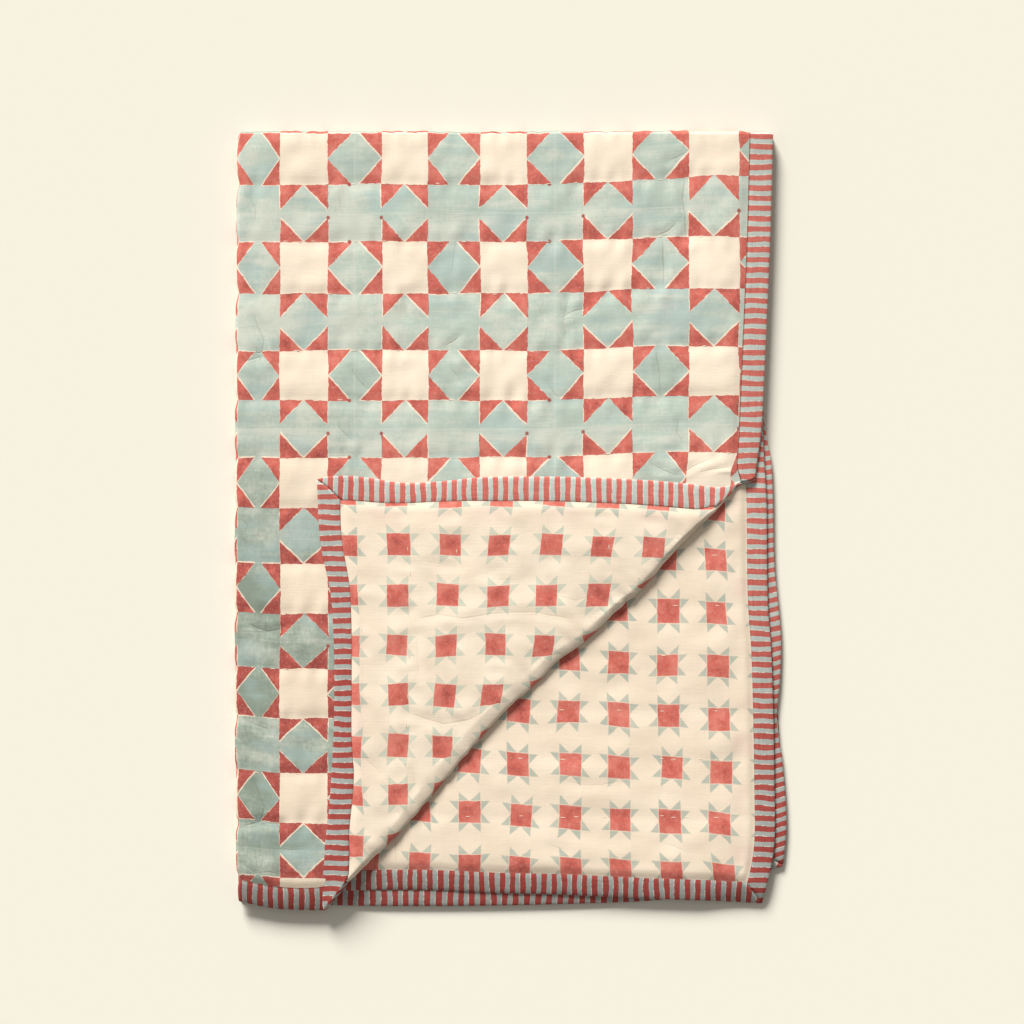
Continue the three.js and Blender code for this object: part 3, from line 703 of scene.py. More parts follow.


# tone: 0 where the stars are greener, 1 where they are greyer; blush: patches where ink has run pink; and
# a painted shade that darkens the end fold, fullest where the cloth turns steepest.
def stained(g):
    x, y = g.point[..., 0], g.point[..., 1]
    lying, turned = [
        smooth(*patches["patch"], waves(x, y, patches["length"], patches["seed"]))
        for patches in (stains["lying"], stains["turned"])]
    lying *= smooth(*stains["lyingX"], x) * g.inner
    turned *= smooth(*stains["turnedDepth"], g.pastBack)
    values = {
        "tone": np.where(g.turned, stains["grey"] * smooth(*stains["greyDepth"], g.pastBack), 1.0),
        "blush": np.where(g.turned, turned, lying),
        "paintedFoldShade": np.broadcast_to(smooth(0, stains["paintedFoldShade"], np.sin(g.endTurn)), g.past.shape),
    }
    none = np.zeros(g.m.size)
    return {label: joined(value, none, value, none) for label, value in values.items()}


# Faces of both sides and the wall round the rim. A cell on the diagonal is cut into two triangles: one stays
# with the first layer, the other starts the turned corner, and the bend's strip runs between them.
def sheetFaces(g):
    steps = folded["bendSteps"]
    base = g.col * g.rows + g.row

    def bentIndex(n, step):
        return np.where(step == 0, (g.start + n) * g.rows + n, base.size + n * steps + step - 1)

    turnedBase = np.where(g.past == 0, bentIndex(g.row, np.array(steps)), base)
    lying, turned = [
        np.stack([index[:-1, :-1], index[1:, :-1], index[1:, 1:], index[:-1, 1:]], -1)
        for index in (base, turnedBase)]
    cut = (g.past[:-1, :-1] == 0) & (g.past[1:, 1:] == 0)
    isTurned = g.turned[:-1, :-1]
    n, s = np.meshgrid(np.arange(cornerSteps), np.arange(steps), indexing="ij")
    strip = [bentIndex(n, s), bentIndex(n, s + 1), bentIndex(n + 1, s + 1), bentIndex(n + 1, s)]
    quads = np.concatenate([lying[~cut & ~isTurned], turned[isTurned], np.stack(strip, -1).reshape(-1, 4)])
    triangles = np.concatenate([lying[cut][:, [0, 2, 3]], turned[cut][:, [0, 1, 2]]])
    ends = np.arange(1, steps + 1)
    rim = joined(
        base[:g.start + 1, 0], bentIndex(0 * ends, ends), base[g.start + 1:, 0],
        base[-1, 1:cornerSteps], bentIndex(np.full(steps, cornerSteps), ends[::-1]), base[-1, cornerSteps:],
        base[-2::-1, -1], base[0, -2:0:-1],
    )
    following = np.roll(rim, -1)
    total = base.size + g.m.size
    walls = np.stack([rim, rim + total, following + total, following], -1)
    faces = quads.tolist() + triangles.tolist()
    faces += (quads[:, ::-1] + total).tolist() + (triangles[:, ::-1] + total).tolist() + walls.tolist()
    materialIndex = np.ones(len(faces), np.int32)
    materialIndex[:len(quads) + len(triangles)] = 0
    return faces, materialIndex


# A mesh in metres at the frame's origin, with its print coordinates and the values its material reads.
def meshPiece(name, vertices, faces, uv, materials, materialIndex=None, attributes=None):
    mesh = bpy.data.meshes.new(name)
    shift = np.array([*folded["originShift"], 0.0])
    mesh.from_pydata(((vertices + shift) * mm).tolist(), [], faces)
    for material in materials:
        mesh.materials.append(material)
    if materialIndex is not None:
        mesh.polygons.foreach_set("material_index", materialIndex)
    corners = np.empty(len(mesh.loops), np.int32)
    mesh.loops.foreach_get("vertex_index", corners)
    mesh.uv_layers.new(name="cloth").data.foreach_set("uv", uv[corners].astype(np.float32).ravel())
    for label, values in (attributes or {}).items():
        mesh.attributes.new(label, "FLOAT", "POINT").data.foreach_set("value", values.astype(np.float32))
    mesh.shade_smooth()
    mesh.update()
    piece = bpy.data.objects.new(name, mesh)
    bpy.context.scene.collection.objects.link(piece)
    return piece


# The quilted cloth: both faces stand off the middle of the sheet by half the thickness.
def quiltPiece(materials):
    g = layOut()
    faceHalf, backHalf, attributes = thicken(g)
    middle = np.concatenate([g.point.reshape(-1, 3), g.bentPoint.reshape(-1, 3)])
    away = np.concatenate([g.normal.reshape(-1, 3), g.bentNormal.reshape(-1, 3)])
    face, back = middle + away * faceHalf[:, None], middle - away * backHalf[:, None]
    faces, materialIndex = sheetFaces(g)
    attributes.update(stained(g))
    piece = meshPiece("quiltedCloth", np.concatenate([face, back]), faces, printPlaces(g), materials,
                      materialIndex, attributes)
    g.face, g.back = [side[:g.past.size].reshape(g.columns, g.rows, 3) for side in (face, back)]
    return piece, g


stitching = {
    "long": 6.2, "wide": 0.95, "high": 0.36, "pitch": 16.0, "uneven": 3.0, "lengthUneven": 1.6, "wander": 1.0,
    "seen": {"first": 0.22, "second": 0.75, "turned": 0.15},   # share that is not sunk out of sight
    "sunk": 0.06, "settled": 0.3, "seed": 77,
    "sides": 6, "rings": [(-1.0, 0.0), (-0.72, 0.75), (0.0, 1.0), (0.72, 0.75), (1.0, 0.0)],
    "firstX": (-292.0, 262.0), "secondX": (-180.0, 262.0),
    "aboveY": 58.0, "besideX": -236.0,   # the first layer is free above the turned corner and beside it
    "bendClear": 250.0,                  # the second layer is free where x - y is larger
    "inStar": 0.2, "between": 0.1,       # on it most lie in the stars, this share between them
    "turnedCells": (1.1, 2.0), "turnedMargins": (0.8, 1.0),    # kept clear on the turned corner, in cells
    "rounds": 6,
    "roughness": 0.9, "specular": 0.25, "sheen": 0.0, "colour": (0.70, 0.58, 0.44),
}


# A place on the cloth between its grid points, with the ways along both grid directions.
def gridPlace(points, column, row):
    c = np.clip(column.astype(int), 0, points.shape[0] - 2)
    r = np.clip(row.astype(int), 0, points.shape[1] - 2)
    f, h = (column - c)[:, None], (row - r)[:, None]
    near, far = [lerp(points[c, r + k], points[c + 1, r + k], f) for k in (0, 1)]
    along = lerp(points[c + 1, r] - points[c, r], points[c + 1, r + 1] - points[c, r + 1], h)
    return lerp(near, far, h), along, far - near


# Places along one row, a pitch apart and uneven.
def alongRow(draw, first, last, layer):
    places = np.arange(first, last, stitching["pitch"])
    places = places + draw.uniform(-1, 1, len(places)) * stitching["uneven"]
    return places[draw.uniform(0, 1, len(places)) < stitching["seen"][layer]]


# How far each stitch lies off its row.
def wander(draw, count):
    return draw.uniform(-1, 1, count) * stitching["wander"]


# Column and row of a place on a lying layer: the layer's shares, found by going back and forth between them.
def lyingPlace(g, layer, turnAt, x, y):
    across = np.full(x.shape, 0.5)
    endFold = folded["endFoldY"] - folded["endInset"] * (turnAt > 0)
    for _ in range(stitching["rounds"]):
        down = (endFold - y) / (endFold - curveThrough(freeEnd[layer], across))
        foldX = curveThrough(sideFold, down)
        across = (x - foldX) / (curveThrough(freeSide[layer], down) - foldX)
    mine, front = np.flatnonzero(g.turn == turnAt), np.flatnonzero(g.endTurn == 0)
    mine = mine[np.argsort(g.across[mine])]
    return np.interp(across, g.across[mine], mine), np.interp(-down, -g.down[front], front)


# Middle of each stitch, the way along its row and the way across it.
def stitchPlaces(g, draw):
    laid = []
    for rowY in checkLines["rows"][1:-1]:
        x = alongRow(draw, *stitching["firstX"], "first")
        y = rowY + checkLines["rise"] * smooth(*checkLines["riseX"], x) + wander(draw, len(x))
        free = (y > stitching["aboveY"]) | (x < stitching["besideX"])
        laid.append(gridPlace(g.face, *lyingPlace(g, "first", 0.0, x[free], y[free])))
    lying = starPlaces["lying"]
    for rowY in secondRows[1:-1]:
        x = alongRow(draw, *stitching["secondX"], "second")
        stars = (x - lying["origin"][0]) / lying["pitch"][0]
        inStar = np.abs(stars - np.round(stars)) < stitching["inStar"]
        x = x[inStar | (draw.uniform(0, 1, len(x)) < stitching["between"])]
        y = rowY + wander(draw, len(x))
        free = x - y > stitching["bendClear"]
        laid.append(gridPlace(g.back, *lyingPlace(g, "second", math.pi, x[free], y[free])))
    lowest, highest = stitching["turnedCells"]
    atBend, atSide = stitching["turnedMargins"]
    for rowY in checkLines["rows"]:
        p = (rowY - curveThrough(freeEnd["first"], 0.5)) / cell
        if lowest < p < cornerCells - highest:
            i = alongRow(draw, (p + atBend) * cell, (cornerCells - atSide) * cell, "turned") / cell
            rows = (p + wander(draw, len(i)) / cell) * finePerCell
            laid.append(gridPlace(g.back, g.start + i * finePerCell, rows))
    return [np.concatenate(arrays) for arrays in zip(*laid)]


# All stitches as one mesh: beads with pointed ends, wider than high, lying in the rows.
def stitchPiece(g, material):
    draw = np.random.default_rng(stitching["seed"])
    centre, along, across = stitchPlaces(g, draw)
    along /= np.linalg.norm(along, axis=-1, keepdims=True)
    up = np.cross(along, across)
    up *= (np.sign(up[:, 2]) / np.linalg.norm(up, axis=-1))[:, None]
    beside = np.cross(up, along)
    sides, high = stitching["sides"], stitching["high"]
    angles = np.arange(sides) * 2 * math.pi / sides
    places, widths = np.array(stitching["rings"]).T
    length = (stitching["long"] + draw.uniform(-1, 1, len(centre)) * stitching["lengthUneven"]) / 2
    lengthwise = (length[:, None] * places)[:, :, None, None]
    sideways = (widths[:, None] * np.cos(angles) * stitching["wide"] / 2)[None, :, :, None]
    upright = ((widths[:, None] * np.sin(angles) - stitching["settled"]) * high / 2)[None, :, :, None]
    centre, along, beside, up = [array[:, None, None] for array in (centre, along, beside, up)]
    vertices = centre + along * lengthwise + beside * sideways + up * (upright + high / 2 - stitching["sunk"])
    index = np.arange(vertices[..., 0].size).reshape(vertices.shape[:3])
    following = np.roll(index, -1, axis=2)
    quads = np.stack([index[:, :-1], following[:, :-1], following[:, 1:], index[:, 1:]], -1).reshape(-1, 4)
    ends = np.concatenate([index[:, 0, ::-1], index[:, -1]])
    uv = np.zeros((index.size, 2))
    return meshPiece("stitches", vertices.reshape(-1, 3), quads.tolist() + ends.tolist(), uv, [material])


def threadCotton():
    material, _, shader = startMaterial("threadCotton", stitching)
    shader.inputs["Base Color"].default_value = (*stitching["colour"], 1.0)
    return material


# A binding strip: its profile carried along one side of the quilt. stations gives the middle of the cloth,
# its normal and the way along, for each place along the strip and each depth from the edge.
def bindingPiece(name, stations, widths, material, seed):
    face, reverse = widths
    outside, inside = np.array(bindings["faceProfile"]), np.array(bindings["innerProfile"])
    inner = [np.stack([inside[:, 0] * width + inside[:, 1], inside[:, 2]], -1) for width in widths]
    profile = np.concatenate([
        outside * [[face, 1]], [bindings["edge"]], outside[::-1] * [[reverse, -1]],
        inner[1][::-1] * [[1, -1]], inner[0],
    ])
    depth, lift = profile.T
    point, normal, along = stations(depth)
    uneven = waves(along, depth[None, :] * bindings["puffAcross"], bindings["puffLength"], seed)
    puffed = np.sign(lift) * (np.abs(lift) > bindings["puffFrom"]) * bindings["puff"]
    vertices = point + normal * (lift + puffed * uneven)[..., None]
    index = np.arange(along.size).reshape(along.shape)
    following = np.roll(index, -1, axis=1)
    quads = np.stack([index[:-1], index[1:], following[1:], following[:-1]], -1).reshape(-1, 4)
    faces = quads.tolist() + [index[0].tolist(), index[-1, ::-1].tolist()]
    share = np.broadcast_to(depth / np.where(lift > 0, face, reverse), along.shape)
    uv = np.stack([along / bindings["stripePitch"], share], -1).reshape(-1, 2)
    x, y, z = np.moveaxis(point, -1, 0)
    # painted shade: the deep attribute darkens the strips towards the lower end, on the turned corner's short
    # side and in the end fold
    shadeFrom, shadeTo = bindings["shadeY"]
    raised = smooth(firstZ, firstZ + bindings["turnedShadeZ"], z) * smooth(*bindings["turnedShadeX"], x)
    deep = (shadeFrom - y) / (shadeFrom - shadeTo) + bindings["turnedShade"] * raised
    deep += smooth(*bindings["foldShadeY"], y)
    seam = np.broadcast_to(np.where(lift > 0, 1, bindings["reverseSeam"]), along.shape)
    return meshPiece(name, vertices.reshape(-1, 3), faces, uv, [material],
                     attributes={"deep": np.clip(deep, 0, 1).ravel(), "seam": seam.ravel()})


# Points, normals and lengths of a strip's regions, one region after another.
def joinStations(*regions):
    return [np.concatenate(arrays) for arrays in zip(*regions)]


# A stretch of a strip in one region: even steps from first to last for each depth, without the first one
# where another region ends there.
def stretch(depth, first, last, count, skipFirst=True):
    shares = np.linspace(0, 1, count + 1)[1 if skipFirst else 0:, None]
    return first + (last - first) * shares + 0 * depth


# Angles round the end fold, closest together where it starts and ends.
def endFoldTurns(depth):
    return math.pi * smooth(0, 1, stretch(depth, 0, 1, bindings["steps"]["fold"]))


# Angles round the side fold, in even steps from the inner layer to the outer one.
def sideFoldTurns(depth):
    return stretch(depth, math.pi, 0, bindings["steps"]["fold"])


# The outer side: along the turned corner, round the bend, up the first layer, over the end fold and back down
# the fourth.
def outerSideStations(depth):
    steps, kept = bindings["steps"], bindings["outerTurned"]
    inCells, across = depth / cell, 1 - depth / flatWidth
    i = cornerCells - inCells
    p = stretch(depth, inCells * kept[0][1], i, steps["flap"], False)
    flap = turnedSheet(cornerCells - inCells * curveThrough(kept, p / cornerCells), p)
    tipX, (sideX, sideY) = folded["turnedTip"][0], folded["bendSide"]
    flapLength = flap[0][..., 0] - tipX
    p = stretch(depth, i, flatLength / cell, steps["firstSide"])
    first = drawnSheet(i + 0 * p, p)
    firstLength = first[0][..., 1] - sideY + sideX - tipX + bentLength(cornerCells, math.pi)
    angle = stretch(depth, math.pi, 0, folded["bendSteps"])
    bend = bentSheet(i + 0 * angle, angle)
    bendLength = lerp(flapLength[-1], firstLength[0], 1 - angle / math.pi)
    endTurn = endFoldTurns(depth)
    fold = foldedSheet(0.0, across, endTurn, 0.0)
    foldLength = firstLength[-1].mean() + 1.5 * layerPitch * endTurn
    down = stretch(depth, 0, 1 - depth / flatLength, steps["fourthSide"])
    fourth = foldedSheet(0.0, across, math.pi, down)
    fourthLength = foldLength[-1].mean() + flatLength * down
    return joinStations((*flap, flapLength), (*bend, bendLength), (*first, firstLength),
                        (*fold, foldLength), (*fourth, fourthLength))


# The inner side: up the second layer, over the end fold and back down the third.
def innerSideStations(depth):
    count = bindings["steps"]["innerSide"]
    across = 1 - depth / flatWidth
    down = stretch(depth, 1 - depth / flatLength, 0, count, False)
    second = (*foldedSheet(math.pi, across, 0.0, down), flatLength * (1 - down))
    endTurn = endFoldTurns(depth)
    rise = 0.5 * layerPitch
    fold = (*foldedSheet(math.pi, across, endTurn, 0.0), flatLength + rise * endTurn)
    down = stretch(depth, 0, 1 - depth / flatLength, count)
    third = (*foldedSheet(math.pi, across, math.pi, down), flatLength * (1 + down) + rise * math.pi)
    return joinStations(second, fold, third)


# The upper end: along the second layer, round the side fold, back along the first, round the bend and up the
# turned corner's short side.
def upperEndStations(depth):
    steps, kept = bindings["steps"], bindings["upperTurned"]
    narrow = depth * bindings["upperSecond"]
    across = stretch(depth, 1 - narrow / flatWidth, 0, steps["innerEnd"], False)
    second = foldedSheet(math.pi, across, 0.0, 1 - narrow / flatLength)
    secondLength = freeSide["second"][-1][1] - second[0][..., 0]
    turn = sideFoldTurns(depth)
    fold = foldedSheet(turn, 0.0, 0.0, 1 - lerp(depth, narrow, turn / math.pi) / flatLength)
    foldLength = secondLength[-1].mean() + layerPitch / 2 * (math.pi - turn)
    p = depth / cell
    i = stretch(depth, -lead / cell, p, steps["firstEnd"])
    first = drawnSheet(i, p + 0 * i)
    start = foldLength[-1].mean() - sideFold[-1][1]
    firstLength = start + first[0][..., 0]
    i = stretch(depth, p, cornerCells - p * kept[-1][1], steps["flap"])
    flap = turnedSheet(i, p * curveThrough(kept, i / cornerCells))
    footX, footY = folded["bendFoot"]
    flapLength = start + footX + bentLength(0.0, math.pi) + flap[0][..., 1] - footY
    angle = stretch(depth, 0, math.pi, folded["bendSteps"])
    bend = bentSheet(p + 0 * angle, angle)
    bendLength = lerp(firstLength[-1], flapLength[0], angle / math.pi)
    return joinStations((*second, secondLength), (*fold, foldLength), (*first, firstLength),
                        (*bend, bendLength), (*flap, flapLength))


# The lower end: along the third layer, round the side fold and back along the fourth.
def lowerEndStations(depth):
    steps = bindings["steps"]
    down = 1 - depth / flatLength
    across = stretch(depth, 1 - depth / flatWidth, 0, steps["innerEnd"], False)
    third = (*foldedSheet(math.pi, across, math.pi, down), flatWidth * (1 - across))
    turn = sideFoldTurns(depth)
    arc = layerPitch / 2
    fold = (*foldedSheet(turn, 0.0, math.pi, down), flatWidth + arc * (math.pi - turn))
    across = stretch(depth, 0, 1 - depth / flatWidth, steps["fourthEnd"])
    fourth = (*foldedSheet(0.0, across, math.pi, down), flatWidth * (1 + across) + arc * math.pi)
    return joinStations(third, fold, fourth)


# A number, vector or colour in a material: arithmetic on it makes the nodes that work it out.
class Wire:
    def __init__(self, socket):
        self.socket = socket
        self.tree = socket.id_data

    def __add__(self, other):
        return calc("ADD", self, other)

    def __sub__(self, other):
        return calc("SUBTRACT", self, other)

    def __rsub__(self, other):
        return calc("SUBTRACT", other, self)

    def __mul__(self, other):
        return calc("MULTIPLY", self, other)

    def __truediv__(self, other):
        return calc("DIVIDE", self, other)

    def __pow__(self, other):
        return calc("POWER", self, other)

    def __mod__(self, other):
        return calc("FLOORED_MODULO", self, other)

    def __abs__(self):
        return calc("ABSOLUTE", self)


def plug(value, socket):
    if isinstance(value, Wire):
        value.tree.links.new(value.socket, socket)
    else:
        socket.default_value = value


# One arithmetic node: a vector's where one of the values is a vector or a colour.
def calc(operation, *values, clamp=False):
    wires = [value for value in values if isinstance(value, Wire)]
    numbers = all(wire.socket.type == "VALUE" for wire in wires)
    node = wires[0].tree.nodes.new("ShaderNodeMath" if numbers else "ShaderNodeVectorMath")
    node.operation = operation
    if clamp:
        node.use_clamp = True
    for value, socket in zip(values, node.inputs):
        plug(value, socket)
    return Wire(node.outputs[0])


def parts(vector):
    node = vector.tree.nodes.new("ShaderNodeSeparateXYZ")
    plug(vector, node.inputs[0])
    return Wire(node.outputs[0]), Wire(node.outputs[1])


# 0 below the edge and 1 above it, with a soft step between.
def softStep(value, edge, softness):
    node = value.tree.nodes.new("ShaderNodeMapRange")
    node.interpolation_type = "SMOOTHSTEP"
    plug(value, node.inputs["Value"])
    plug(edge - softness, node.inputs["From Min"])
    plug(edge + softness, node.inputs["From Max"])
    return Wire(node.outputs["Result"])


def mixColours(factor, a, b, blend="MIX"):
    node = factor.tree.nodes.new("ShaderNodeMix")
    node.data_type, node.blend_type = "RGBA", blend
    plug(factor, node.inputs[0])
    for value, socket in zip((a, b), node.inputs[6:8]):
        plug(value if isinstance(value, Wire) else (*value, 1.0), socket)
    return Wire(node.outputs[2])


def noise(vector, scale, detail=2.0, roughness=0.5, output=0):
    node = vector.tree.nodes.new("ShaderNodeTexNoise")
    node.noise_dimensions = "2D"
    for label, value in (("Vector", vector), ("Scale", scale), ("Detail", detail), ("Roughness", roughness)):
        plug(value, node.inputs[label])
    return Wire(node.outputs[output])


# One value for each whole place.
def luck(vector, output="Value"):
    node = vector.tree.nodes.new("ShaderNodeTexWhiteNoise")
    node.noise_dimensions = "2D"
    plug(vector, node.inputs["Vector"])
    return Wire(node.outputs[output])


# A vector about 0 in the plane of the cloth, from a colour: at most half an amount each way.
def drift(colour, amount):
    return (colour - (0.5, 0.5, 0.5)) * (amount, amount, 0)


# A value about 0.5 swings about 0 by an amount.
def swing(value, amount):
    return value * amount - amount / 2


def clothCoordinates(tree):
    node = tree.nodes.new("ShaderNodeUVMap")
    node.uv_map = "cloth"
    return Wire(node.outputs[0])


def ownAttribute(tree, label):
    node = tree.nodes.new("ShaderNodeAttribute")
    node.attribute_name = label
    return Wire(node.outputs["Fac"])


def startMaterial(name, finish):
    material = bpy.data.materials.new(name)
    material.use_nodes = True
    shader = material.node_tree.nodes["Principled BSDF"]
    shader.inputs["Roughness"].default_value = finish["roughness"]
    shader.inputs["Specular IOR Level"].default_value = finish["specular"]
    shader.inputs["Sheen Weight"].default_value = finish["sheen"]
    shader.inputs["Sheen Roughness"].default_value = 0.5
    return material, material.node_tree, shader


def bumped(shader, height, strength, distance):
    node = height.tree.nodes.new("ShaderNodeBump")
    plug(strength, node.inputs["Strength"])
    plug(distance, node.inputs["Distance"])
    plug(height, node.inputs["Height"])
    plug(Wire(node.outputs[0]), shader.inputs["Normal"])


# Names that end in Noise hold a scale, detail and roughness; names that end in At hold where a soft step is
# and how soft. Other numbers are amounts, or lengths counted in checks or stars.
cotton = {
    "roughness": 0.92, "specular": 0.25, "sheen": 0.04,
    # cloth
    "cream": (0.846, 0.718, 0.562), "creamShade": (0.735, 0.595, 0.440),
    "slubs": 34.0, "slubLong": 0.05, "slubNoise": (1.0, 3.0, 0.6),
    "wornNoise": (0.9, 3.0), "wornCloud": 0.9, "wornSlub": 0.6, "wornStart": 0.62,
    "weave": 0.35, "softNoise": (4.0, 3.0, 0.5), "softHeight": 0.55, "slubHeight": 0.45, "creaseHeight": 0.7,
    "creaseNoise": (3.0, 3.0), "creaseWander": 3.0, "creaseAt": (0.9, 0.9),
    # the last colour on the next line is the painted shade that darkens the end fold
    "creaseShade": (0.62, 0.50, 0.40), "faceCrease": 0.25, "backCrease": 0.2, "paintedFoldShade": (0.56, 0.53, 0.50),
    # the checks' shapes
    "gap": 0.010, "inset": 0.007, "edgeSoft": 0.009, "neckWide": 0.075, "neckNarrow": 0.075,
    "neckUneven": 0.08, "neckNoise": (1.1, 1.0), "neckAt": (0.08, 0.03), "neckBleed": 0.04,
    "sway": 0.085, "swayNoise": (0.8, 2.0), "raggedNoise": (7.5, 4.0, 0.65), "misfit": 0.019,
    "tealBlock": {"offset": (3.0, 7.0, 0.0), "ragged": 0.034},
    "redBlock": {"offset": (11.0, 2.0, 0.0), "ragged": 0.046},
    "blockSide": 4.0, "blockMiddle": (0.5, 1.5, 0.0),
    "dotAt": (0.0012, 0.0008), "dotDown": 0.08, "dotAcross": -0.1, "dots": 0.9,
    "joinAt": (0.012, 0.010), "join": 0.5, "joinLower": 0.4,
    # teal
    "tealPale": (0.575, 0.592, 0.497), "tealMid": (0.428, 0.508, 0.428), "tealDeep": (0.225, 0.276, 0.216),
    "tealBlue": (0.345, 0.455, 0.430),
    "cloudNoise": (1.3, 5.0, 0.6), "cloud": 1.4, "cloudMiddle": 0.45,
    "brushNoise": (1.0, 3.0, 0.6), "brush": 0.9, "brushSize": (0.5, 5.0, 1.0),
    "fleckNoise": (11.0, 4.0, 0.7), "fleck": 0.8, "streak": 0.6,
    "charge": 0.2, "ownCharge": 0.2, "pooled": 0.25, "pooledPower": 3.0, "squareInk": -0.24, "inkStart": 0.14,
    "midAt": (0.30, 0.35), "deepAt": (0.95, 0.40), "deep": 0.4, "lowerDeep": 0.9, "lowerStart": 0.50,
    "blueNoise": (0.7, 3.0), "blueBrush": 0.5, "blueAt": (0.82, 0.12), "blue": 0.45, "blueLower": 0.05,
    # the lower rows beside the fold are darker: a painted shade
    "foldAt": (0.4, 0.6), "lowerAt": (6.0, 2.4), "redLower": 0.7, "redCharge": 0.25, "creamLower": 0.55,
    # red
    "redPale": (0.650, 0.176, 0.131), "redMid": (0.545, 0.107, 0.077), "redDeep": (0.340, 0.052, 0.040),
    "redNoise": (3.2, 4.0, 0.6), "redCloud": 2.4, "redStart": 0.85, "redMidAt": (0.30, 0.40),
    "redDeepAt": (0.95, 0.40), "speckNoise": (17.0, 4.0, 0.7), "speckAt": (0.62, 0.14), "specks": 0.22,
    "pink": (0.760, 0.500, 0.455), "inked": 0.97, "overlap": (0.270, 0.110, 0.120), "overlapped": 0.6,
    # stars
    "starSquare": 0.215, "starReach": 0.41, "starGap": 0.012, "starSoft": 0.012, "pointAt": (0.05, 0.07),
    "starSway": 0.09, "starSwayNoise": (0.7, 2.0), "starRagged": 0.03, "starRaggedNoise": (8.0, 4.0, 0.65),
    "starMisfit": 0.05, "skew": 0.16, "ownSize": 0.10,
    "skewDraw": (2, 31, 0), "sizeDraw": (17, 4, 0), "chargeDraw": (5, 9, 0),
    "starGreen": (0.520, 0.545, 0.425), "starGrey": (0.430, 0.450, 0.362),
    "starCharge": 0.35, "starMiddle": 1.6, "starStart": 0.24, "bandSoft": 0.02,
    "darkening": 0.22, "darkeningTone": 0.24, "darkeningBand": 0.12, "blush": 0.28,
    "fadeNoise": (1.7, 4.0, 0.6), "fade": 0.7, "fadeTone": 0.12, "fadeStart": 0.42,
}


# Slubs of the hand-woven cotton: long thin streaks both ways, about 0.5 on average.
def slubs(vector, perUnit):
    fine = perUnit * cotton["slubLong"]
    across, upright = [vector * size for size in ((fine, perUnit, 1), (perUnit, fine, 1))]
    return (noise(across, *cotton["slubNoise"]) + noise(upright, *cotton["slubNoise"])) * 0.5


# The sharp bottom of the main creases: 1 on the line, 0 a little away from it, by how deep the crease is.
def creaseLines(tree):
    wandering = swing(noise(clothCoordinates(tree), *cotton["creaseNoise"]), cotton["creaseWander"])
    away = abs(ownAttribute(tree, "fold") + wandering)
    return ownAttribute(tree, "sharp") * (1 - softStep(away, *cotton["creaseAt"]))


# Surface of washed cotton: a soft unevenness, the slubs and the bottoms of the creases, which are shaded too.
def crinkled(shader, vector, streaks, colour, shading):
    lines = creaseLines(vector.tree)
    plug(mixColours(lines * shading, colour, cotton["creaseShade"], "MULTIPLY"), shader.inputs["Base Color"])
    height = noise(vector, *cotton["softNoise"]) * cotton["softHeight"] + streaks * cotton["slubHeight"]
    bumped(shader, height - lines * cotton["creaseHeight"], cotton["weave"], mm)


# Cream cloth: darker where it is worn, in clouds and along the slubs, and by a given darkening.
def creamCloth(vector, streaks, darkening):
    creamDarkness = noise(vector, *cotton["wornNoise"]) * cotton["wornCloud"] + streaks * cotton["wornSlub"]
    # on the face, the given darkening is painted shade in the lower rows beside the fold
    creamDarkness = calc("ADD", creamDarkness - cotton["wornStart"], darkening, clamp=True)
    return mixColours(creamDarkness, cotton["cream"], cotton["creamShade"])


# One ink's own coordinates: the checks sway by hand, each block of the print sits a little off, and the edges
# of each ink are ragged in their own way.
def inkCoordinates(checks, block, own):
    slow = drift(noise(checks, *cotton["swayNoise"], output=1), cotton["sway"])
    fast = drift(noise(checks + own["offset"], *cotton["raggedNoise"], output=1), own["ragged"])
    return checks + (slow + fast + drift(luck(block + own["offset"], "Color"), cotton["misfit"]))


# In one check: distance from its middle both ways, whether it holds a diamond, the slant (0.5 on the
# diamond's sides, which leave a neck towards the teal squares) and whether its row is a teal one.
def checkPlace(vector, uneven):
    a, b = parts(abs(calc("FRACTION", vector) - (0.5, 0.5, 0)))
    column, row = parts(calc("FLOOR", vector))
    tealRow = row % 2.0
    neckUp = (1 - column % 2.0) * (uneven + cotton["neckWide"])
    neckAcross = tealRow * (uneven + cotton["neckNarrow"])
    slant = a * (1 - neckAcross * 2) + b * (1 - neckUp * 2)
    return a, b, 1 - (column + row) % 2.0, slant, tealRow


# Red dye: it dried in clouds, deeper towards one side, and skipped a few specks.
def redDye(vector, charge):
    thick = noise(vector, *cotton["redNoise"]) * cotton["redCloud"] + charge - cotton["redStart"]
    ink = mixColours(softStep(thick, *cotton["redMidAt"]), cotton["redPale"], cotton["redMid"])
    ink = mixColours(softStep(thick, *cotton["redDeepAt"]), ink, cotton["redDeep"])
    specks = softStep(noise(vector, *cotton["speckNoise"]), *cotton["speckAt"])
    return mixColours(specks * cotton["specks"], ink, cotton["pink"])


# Where four blocks meet: register dots on the sides of the square there, and thin lines between the blocks.
def blockJoins(checks):
    side, (middleX, middleY, _) = cotton["blockSide"], cotton["blockMiddle"]
    highest, lowest = [(middleX + way * side / 2, middleY + way * side / 2, int(way > 0)) for way in (1, -1)]
    across, down = parts(calc("WRAP", checks, highest, lowest))
    across, down = across - middleX, down - middleY
    aside, above = abs(across), abs(down)
    sideDot = (aside - 0.5) ** 2.0 + (down - cotton["dotDown"]) ** 2.0
    endDot = (above - 0.5) ** 2.0 + (across - cotton["dotAcross"]) ** 2.0
    dots = 1 - softStep(calc("MINIMUM", sideDot, endDot), *cotton["dotAt"])
    return dots, 1 - softStep(calc("MINIMUM", aside, above), *cotton["joinAt"])


